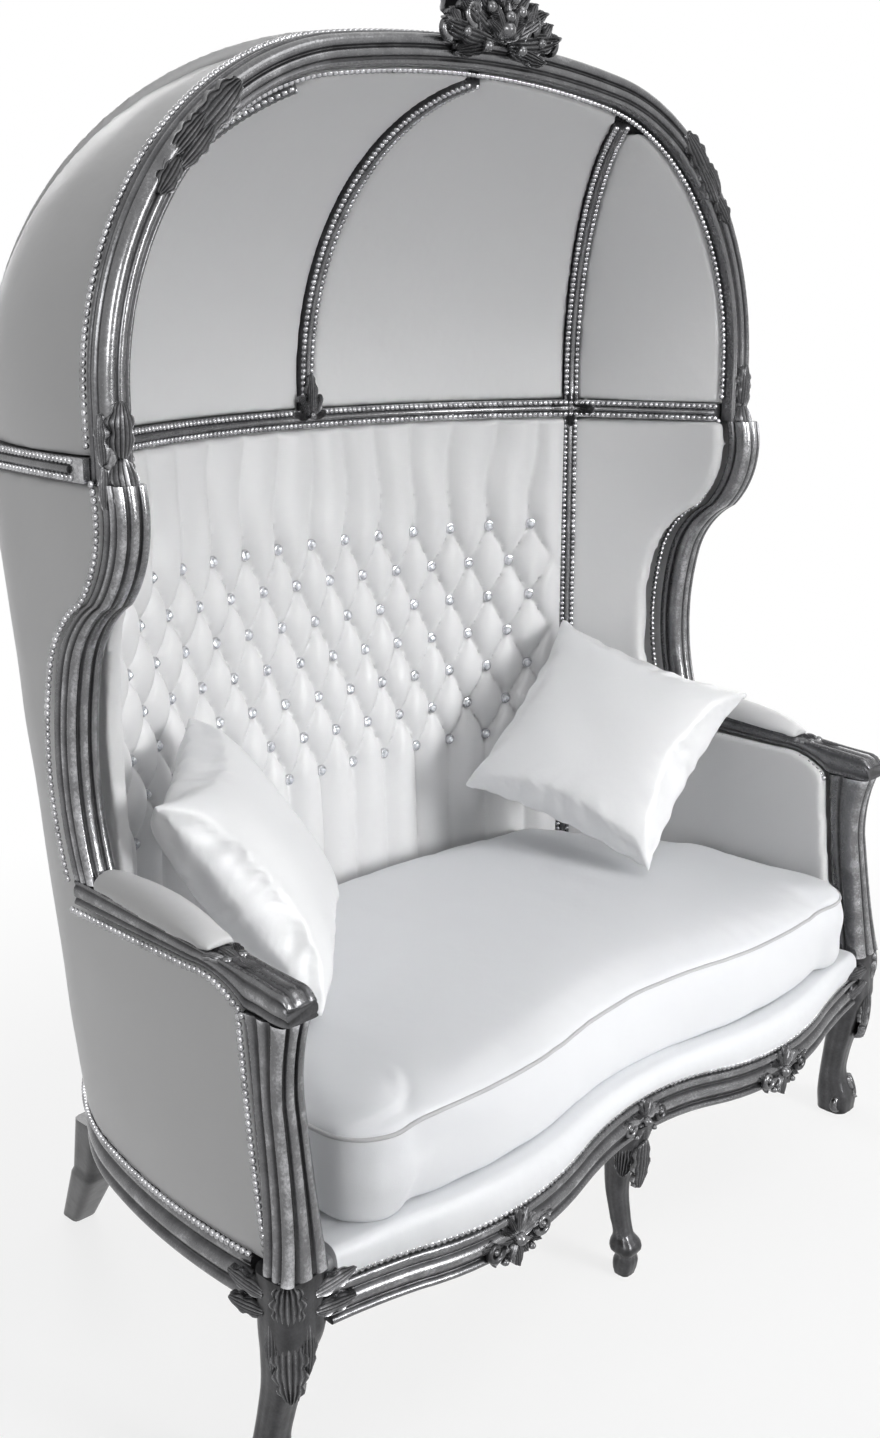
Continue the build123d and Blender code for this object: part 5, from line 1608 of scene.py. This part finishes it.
leg_front = 350
centre_leg_front = 327


def leg_rings(shares, x, y, height, size, ribs, count=40):
    """Sections of a leg from its top to its foot; a share row is height, size and two offsets."""
    rings, painted_shadings = [], []
    for j in range(count + 1):
        rise = 1 - j / count
        k = 0
        while k < len(shares) - 2 and shares[k + 1][0] > rise:
            k += 1
        one, two = shares[k], shares[k + 1]
        before, after = shares[max(k - 1, 0)], shares[min(k + 2, len(shares) - 1)]
        t = (one[0] - rise) / (one[0] - two[0])
        values = []
        for a, b, c, d in list(zip(before, one, two, after))[1:]:
            bend, twist = 2 * a - 5 * b + 4 * c - d, 3 * b - a - 3 * c + d
            values.append(0.5 * (2 * b + (c - a) * t + bend * t * t + twist * t ** 3))
        half = size * values[0] / 2
        ring, relief = [], []
        for m in range(48):
            angle = 2 * pi * m / 48
            round_square = 1 / (abs(cos(angle)) ** 3.2 + abs(sin(angle)) ** 3.2) ** (1 / 3.2)
            rib = cos(angle * 12)
            reach = half * round_square * (1 + ribs * 0.5 * (rib - 1))
            middle = Vector((x + values[1] * height, y + values[2] * height, rise * height))
            ring.append(middle + Vector((reach * cos(angle), reach * sin(angle), 0)))
            # Painted highlight on the ribs and painted shade between them.
            relief.append(0.10 * rib)
        rings.append(ring)
        painted_shadings.append(relief)
    return rings, painted_shadings


def make_front_legs():
    """The cabriole legs, with a leafed knee and a scrolled foot."""
    heap = Heap()
    shares = [
        (1, 1.0, 0, 0), (0.93, 0.99, 0, 0), (0.80, 0.82, 0.01, 0.02), (0.62, 0.66, 0.02, 0.05),
        (0.42, 0.58, 0.035, 0.09), (0.27, 0.60, 0.05, 0.11), (0.12, 0.84, 0.075, 0.09), (0, 0.80, 0.08, 0.09)]
    half = 37
    x, y = rail_end_x + half, half - leg_front
    rings, painted_shadings = leg_rings(shares, x, y, seat_rail_bottom, 74, 0.025)
    top = [[Vector((point.x, point.y, height)) for point in rings[0]] for height in (seat_rail_top, 300, 275)]
    heap.rings(top + rings, [painted_shadings[0]] * 3 + painted_shadings)
    outward = Vector((0.72, -0.69, 0))
    leaf(heap, (x + 24, y - 24, seat_rail_bottom), (0.02, -0.02, 1), outward, 74, 46, 9, 4, 4)
    leaf(heap, (x + 22, y - 22, seat_rail_bottom + 6), (-0.05, 0.05, -1), outward, 128, 48, 12, 5, 5)
    leaf(heap, (x + 2, y - 33, seat_rail_bottom + 4), (0, 0.06, -1), (0, -1, 0), 84, 30, 7, 3, 4)
    leaf(heap, (x + 33, y - 2, seat_rail_bottom + 4), (-0.06, 0, -1), (1, 0, 0), 84, 30, 7, 3, 4)
    for lift, lean in ((300, 0.10), (276, -0.12)):
        leaf(heap, (x - 8, y - 35, lift), (-1, 0, lean), (0, -1, 0), 74, 28, 6, 2, 3)
        leaf(heap, (x + 35, y + 8, lift), (0, 1, lean), (1, 0, 0), 74, 28, 6, 2, 3)
    foot = Vector((x + 0.08 * seat_rail_bottom, y + 0.09 * seat_rail_bottom, 0))
    for hand in (1, -1):
        scroll(heap, foot + Vector((hand * 22, -14, 21)), front, (0, 0, -1), 15, 1.25, 5.4, hand)
    scroll(heap, foot + Vector((20, 10, 21)), (1, 0, 0), (0, 0, -1), 15, 1.25, 5.4, -1)
    leaf(heap, foot + Vector((14, -14, 66)), (0.16, -0.12, -1), outward, 56, 40, 8, 8, 3)
    both_sides(heap, "front-leg", silver, "front_leg", carving_crisp)


def make_centre_leg():
    """The turned leg under the middle of the front rail."""
    heap = Heap()
    shares = [
        (1, 0.92, 0, 0), (0.86, 0.84, 0, 0.03), (0.70, 0.62, 0, 0.08), (0.52, 0.50, 0, 0.09),
        (0.34, 0.44, 0, 0.06), (0.25, 0.44, 0, 0.035), (0.205, 0.64, 0, 0.02), (0.165, 0.66, 0, 0.015),
        (0.125, 0.44, 0, 0.01), (0.10, 0.52, 0, 0.012), (0.04, 0.50, 0, 0.018), (0, 0.42, 0, 0.02)]
    rings, painted_shadings = leg_rings(shares, 0, -centre_leg_front, seat_rail_bottom, 66, 0.03, 56)
    heap.rings(rings, painted_shadings)
    leaf(heap, (0, -centre_leg_front - 25, seat_rail_bottom - 26), (0, 0.12, -1), (0, -1, 0), 92, 40, 7, 3, 4)
    for side in (1, -1):
        root = (side * 22, -centre_leg_front - 5, seat_rail_bottom - 22)
        leaf(heap, root, (side * -0.05, 0.10, -1), (side, -0.2, 0), 76, 30, 5, 3, 4)
    heap.piece("centre-leg", silver, ("centre_leg",), carving_crisp)


def make_rear_legs():
    """The plain square rear legs, raked back."""
    rear = Heap()
    rings, painted_shadings = [], []
    sides = 32
    steps = 24
    for j in range(steps + 1):
        down = j / steps
        if down < 0.5:
            size, y_share = mix(62, 40, down), mix(0.55, 0.71, 2 * down)
        else:
            size, y_share = mix(56.5, 40, 2 * down - 1), mix(0.71, 0.925, 2 * down - 1)
        x, y = mix(0.812, 0.728, down) * frame_half_width, y_share * canopy_depth
        height = (1 - down) * seat_rail_bottom
        ring = []
        for m in range(sides):
            angle = 2 * pi * m / sides
            reach = size / 2 / (abs(cos(angle)) ** 6 + abs(sin(angle)) ** 6) ** (1 / 6)
            ring.append(Vector((x + reach * cos(angle), y + reach * sin(angle), height)))
        rings.append(ring)
        # Painted shade over the faces, less of it at the corners.
        painted_shadings.append([-0.12 + 0.1 * (abs(cos(4 * pi * m / sides)) < 0.3) for m in range(sides)])
    rear.rings(rings, painted_shadings)
    both_sides(rear, "rear-leg", silver, "rear_leg", carving_crisp)


def make_arm_tips():
    """Leaves and two knobs where the pad ends, and a leaf where the arm meets the wing."""
    heap = Heap()
    x = frame_inner + arch_face_width / 2
    tip = -arm_tip_reach
    for side in (1, -1):
        boss(heap, (x + side * 12, tip + 118, arm_tip_height + 2), (0, 0, 1), 7, 10)
        root = (x + side * 10, tip + 122, arm_tip_height + 6)
        leaf(heap, root, (side * 0.5, 1, 0.04), (0, 0, 1), 34, 17, 4, 1, 2)
    leaf(heap, (x, tip + 112, arm_tip_height + 6), (0, 1, 0.04), (0, 0, 1), 48, 24, 5, 2, 3)
    leaf(heap, (x, tip + 116, arm_tip_height + 5), (0, -1, -0.05), (0, 0, 1), 58, 20, 4, 0, 2)
    leaf(heap, (x, 62, arm_joint_height - 2), (0, -1, -0.05), (0, 0, 1), 46, 44, 6, 0, 3)
    both_sides(heap, "arm-tip-carving", silver, None, carving_crisp)


make_crest()
make_arch_leaves()
make_shoulder_leaves()
make_rosettes()
make_rib_foot()
make_rail_carvings()
make_front_legs()
make_centre_leg()
make_rear_legs()
make_arm_tips()


# Floor, light and camera
def make_floor():
    """A floor that is plain white but for the sofa's shadow."""
    clear_from = 0.9
    glow_share = 0.80
    finish = Finish("pale studio floor")
    dust = finish.cloud(3, 2)
    colour = finish.ramp(dust, [(0, (0.86, 0.86, 0.86)), (1, (0.90, 0.90, 0.90))])
    matt = finish.node("ShaderNodeBsdfDiffuse", {}, {"Color": colour})
    glow = finish.node("ShaderNodeEmission", {}, {"Color": white, "Strength": 1.0})
    spot = finish.node("ShaderNodeTexCoord", {}, {}, "Object")
    far = finish.node("ShaderNodeVectorMath", {"operation": "LENGTH"}, {0: spot}, "Value")
    clear = ((far - clear_from) * 0.9).held()
    white_share = finish.studio_rays() * (glow_share + clear * (1 - glow_share))
    both = finish.node("ShaderNodeMixShader", {}, {0: white_share, 1: matt, 2: glow})
    reach = 30
    corners = [(-reach, -reach, 0), (reach, -reach, 0), (reach, reach, 0), (-reach, reach, 0)]
    mesh = bpy.data.meshes.new("floor")
    mesh.from_pydata(corners, [], [(0, 1, 2, 3)])
    mesh.materials.append(finish.surface(both))
    floor = bpy.data.objects.new("floor", mesh)
    bpy.context.scene.collection.objects.link(floor)
    floor.location.z = -0.0005


def make_world(strength):
    """A white studio whose light on the sofa is softer than it looks."""
    world = bpy.data.worlds.new("white studio")
    bpy.context.scene.world = world
    sky = Finish("sky", world)
    light = sky.node("ShaderNodeBackground", {}, {"Color": white, "Strength": strength})
    plain = sky.node("ShaderNodeBackground", {}, {"Color": white, "Strength": 1.0})
    both = sky.node("ShaderNodeMixShader", {}, {0: sky.studio_rays(), 1: light, 2: plain})
    sky.surface(both, "ShaderNodeOutputWorld")


def make_lamp(name, spot, aim, size, power, spread=180, only_glints=False):
    """A square lamp aimed at a height over the frame's origin."""
    data = bpy.data.lights.new(name, "AREA")
    data.shape = "SQUARE"
    data.size = size
    data.energy = power
    data.spread = radians(spread)
    lamp = bpy.data.objects.new(name, data)
    bpy.context.scene.collection.objects.link(lamp)
    lamp.location = spot
    lamp.rotation_euler = (Vector((0, 0, aim)) - Vector(spot)).to_track_quat("-Z", "Y").to_euler()
    lamp.visible_camera = False
    lamp.visible_diffuse = not only_glints


# The photograph's camera, fitted to the curves of the frame
camera_spot = (-1.7414, -1.6620, 1.479)
camera_yaw = 47.251
camera_pitch = -14.108
camera_roll = 0.43
camera_lens = 40.08
camera_sensor = 36
camera_shift = (-0.0326, -0.0258)


def make_camera():
    """The camera at the place and angle of the photograph's."""
    data = bpy.data.cameras.new("camera")
    data.sensor_width = camera_sensor
    data.lens = camera_lens
    data.shift_x, data.shift_y = camera_shift
    yaw, pitch, roll = radians(camera_yaw), radians(camera_pitch), radians(camera_roll)
    ahead = Vector((sin(yaw) * cos(pitch), cos(yaw) * cos(pitch), sin(pitch)))
    right = Vector((cos(yaw), -sin(yaw), 0))
    up = right.cross(ahead)
    across = right * cos(roll) + up * sin(roll)
    upward = up * cos(roll) - right * sin(roll)
    camera = bpy.data.objects.new("camera", data)
    bpy.context.scene.collection.objects.link(camera)
    turn = Matrix((across, upward, -ahead)).transposed().to_4x4()
    camera.matrix_world = Matrix.Translation(camera_spot) @ turn
    bpy.context.scene.camera = camera


# Lamps: place and aim in metres, size, power, spread, and whether they only glint
lamps = [
    ("key", (0.7, -4.0, 1.7), 0.40, 1.2, 8, 40),
    ("top", (0.4, -1.6, 3.6), 0.5, 1.6, 24),
    ("left fill", (-3.6, -1.0, 1.8), 0.8, 1.8, 5),
    ("back fill", (1.6, 3.8, 2.4), 0.9, 2.0, 75),
    ("right fill", (4.2, 0.6, 2.2), 0.9, 2.0, 30),
    ("left glints", (-3.2, -2.2, 2.4), 1.0, 1.4, 70, 180, True),
    ("front glints", (0.8, -3.6, 2.2), 0.9, 1.2, 40, 180, True)]
world_strength = 0.25

make_floor()
make_world(world_strength)
for lamp in lamps:
    make_lamp(*lamp)
make_camera()
bpy.context.scene.view_settings.view_transform = "Standard"
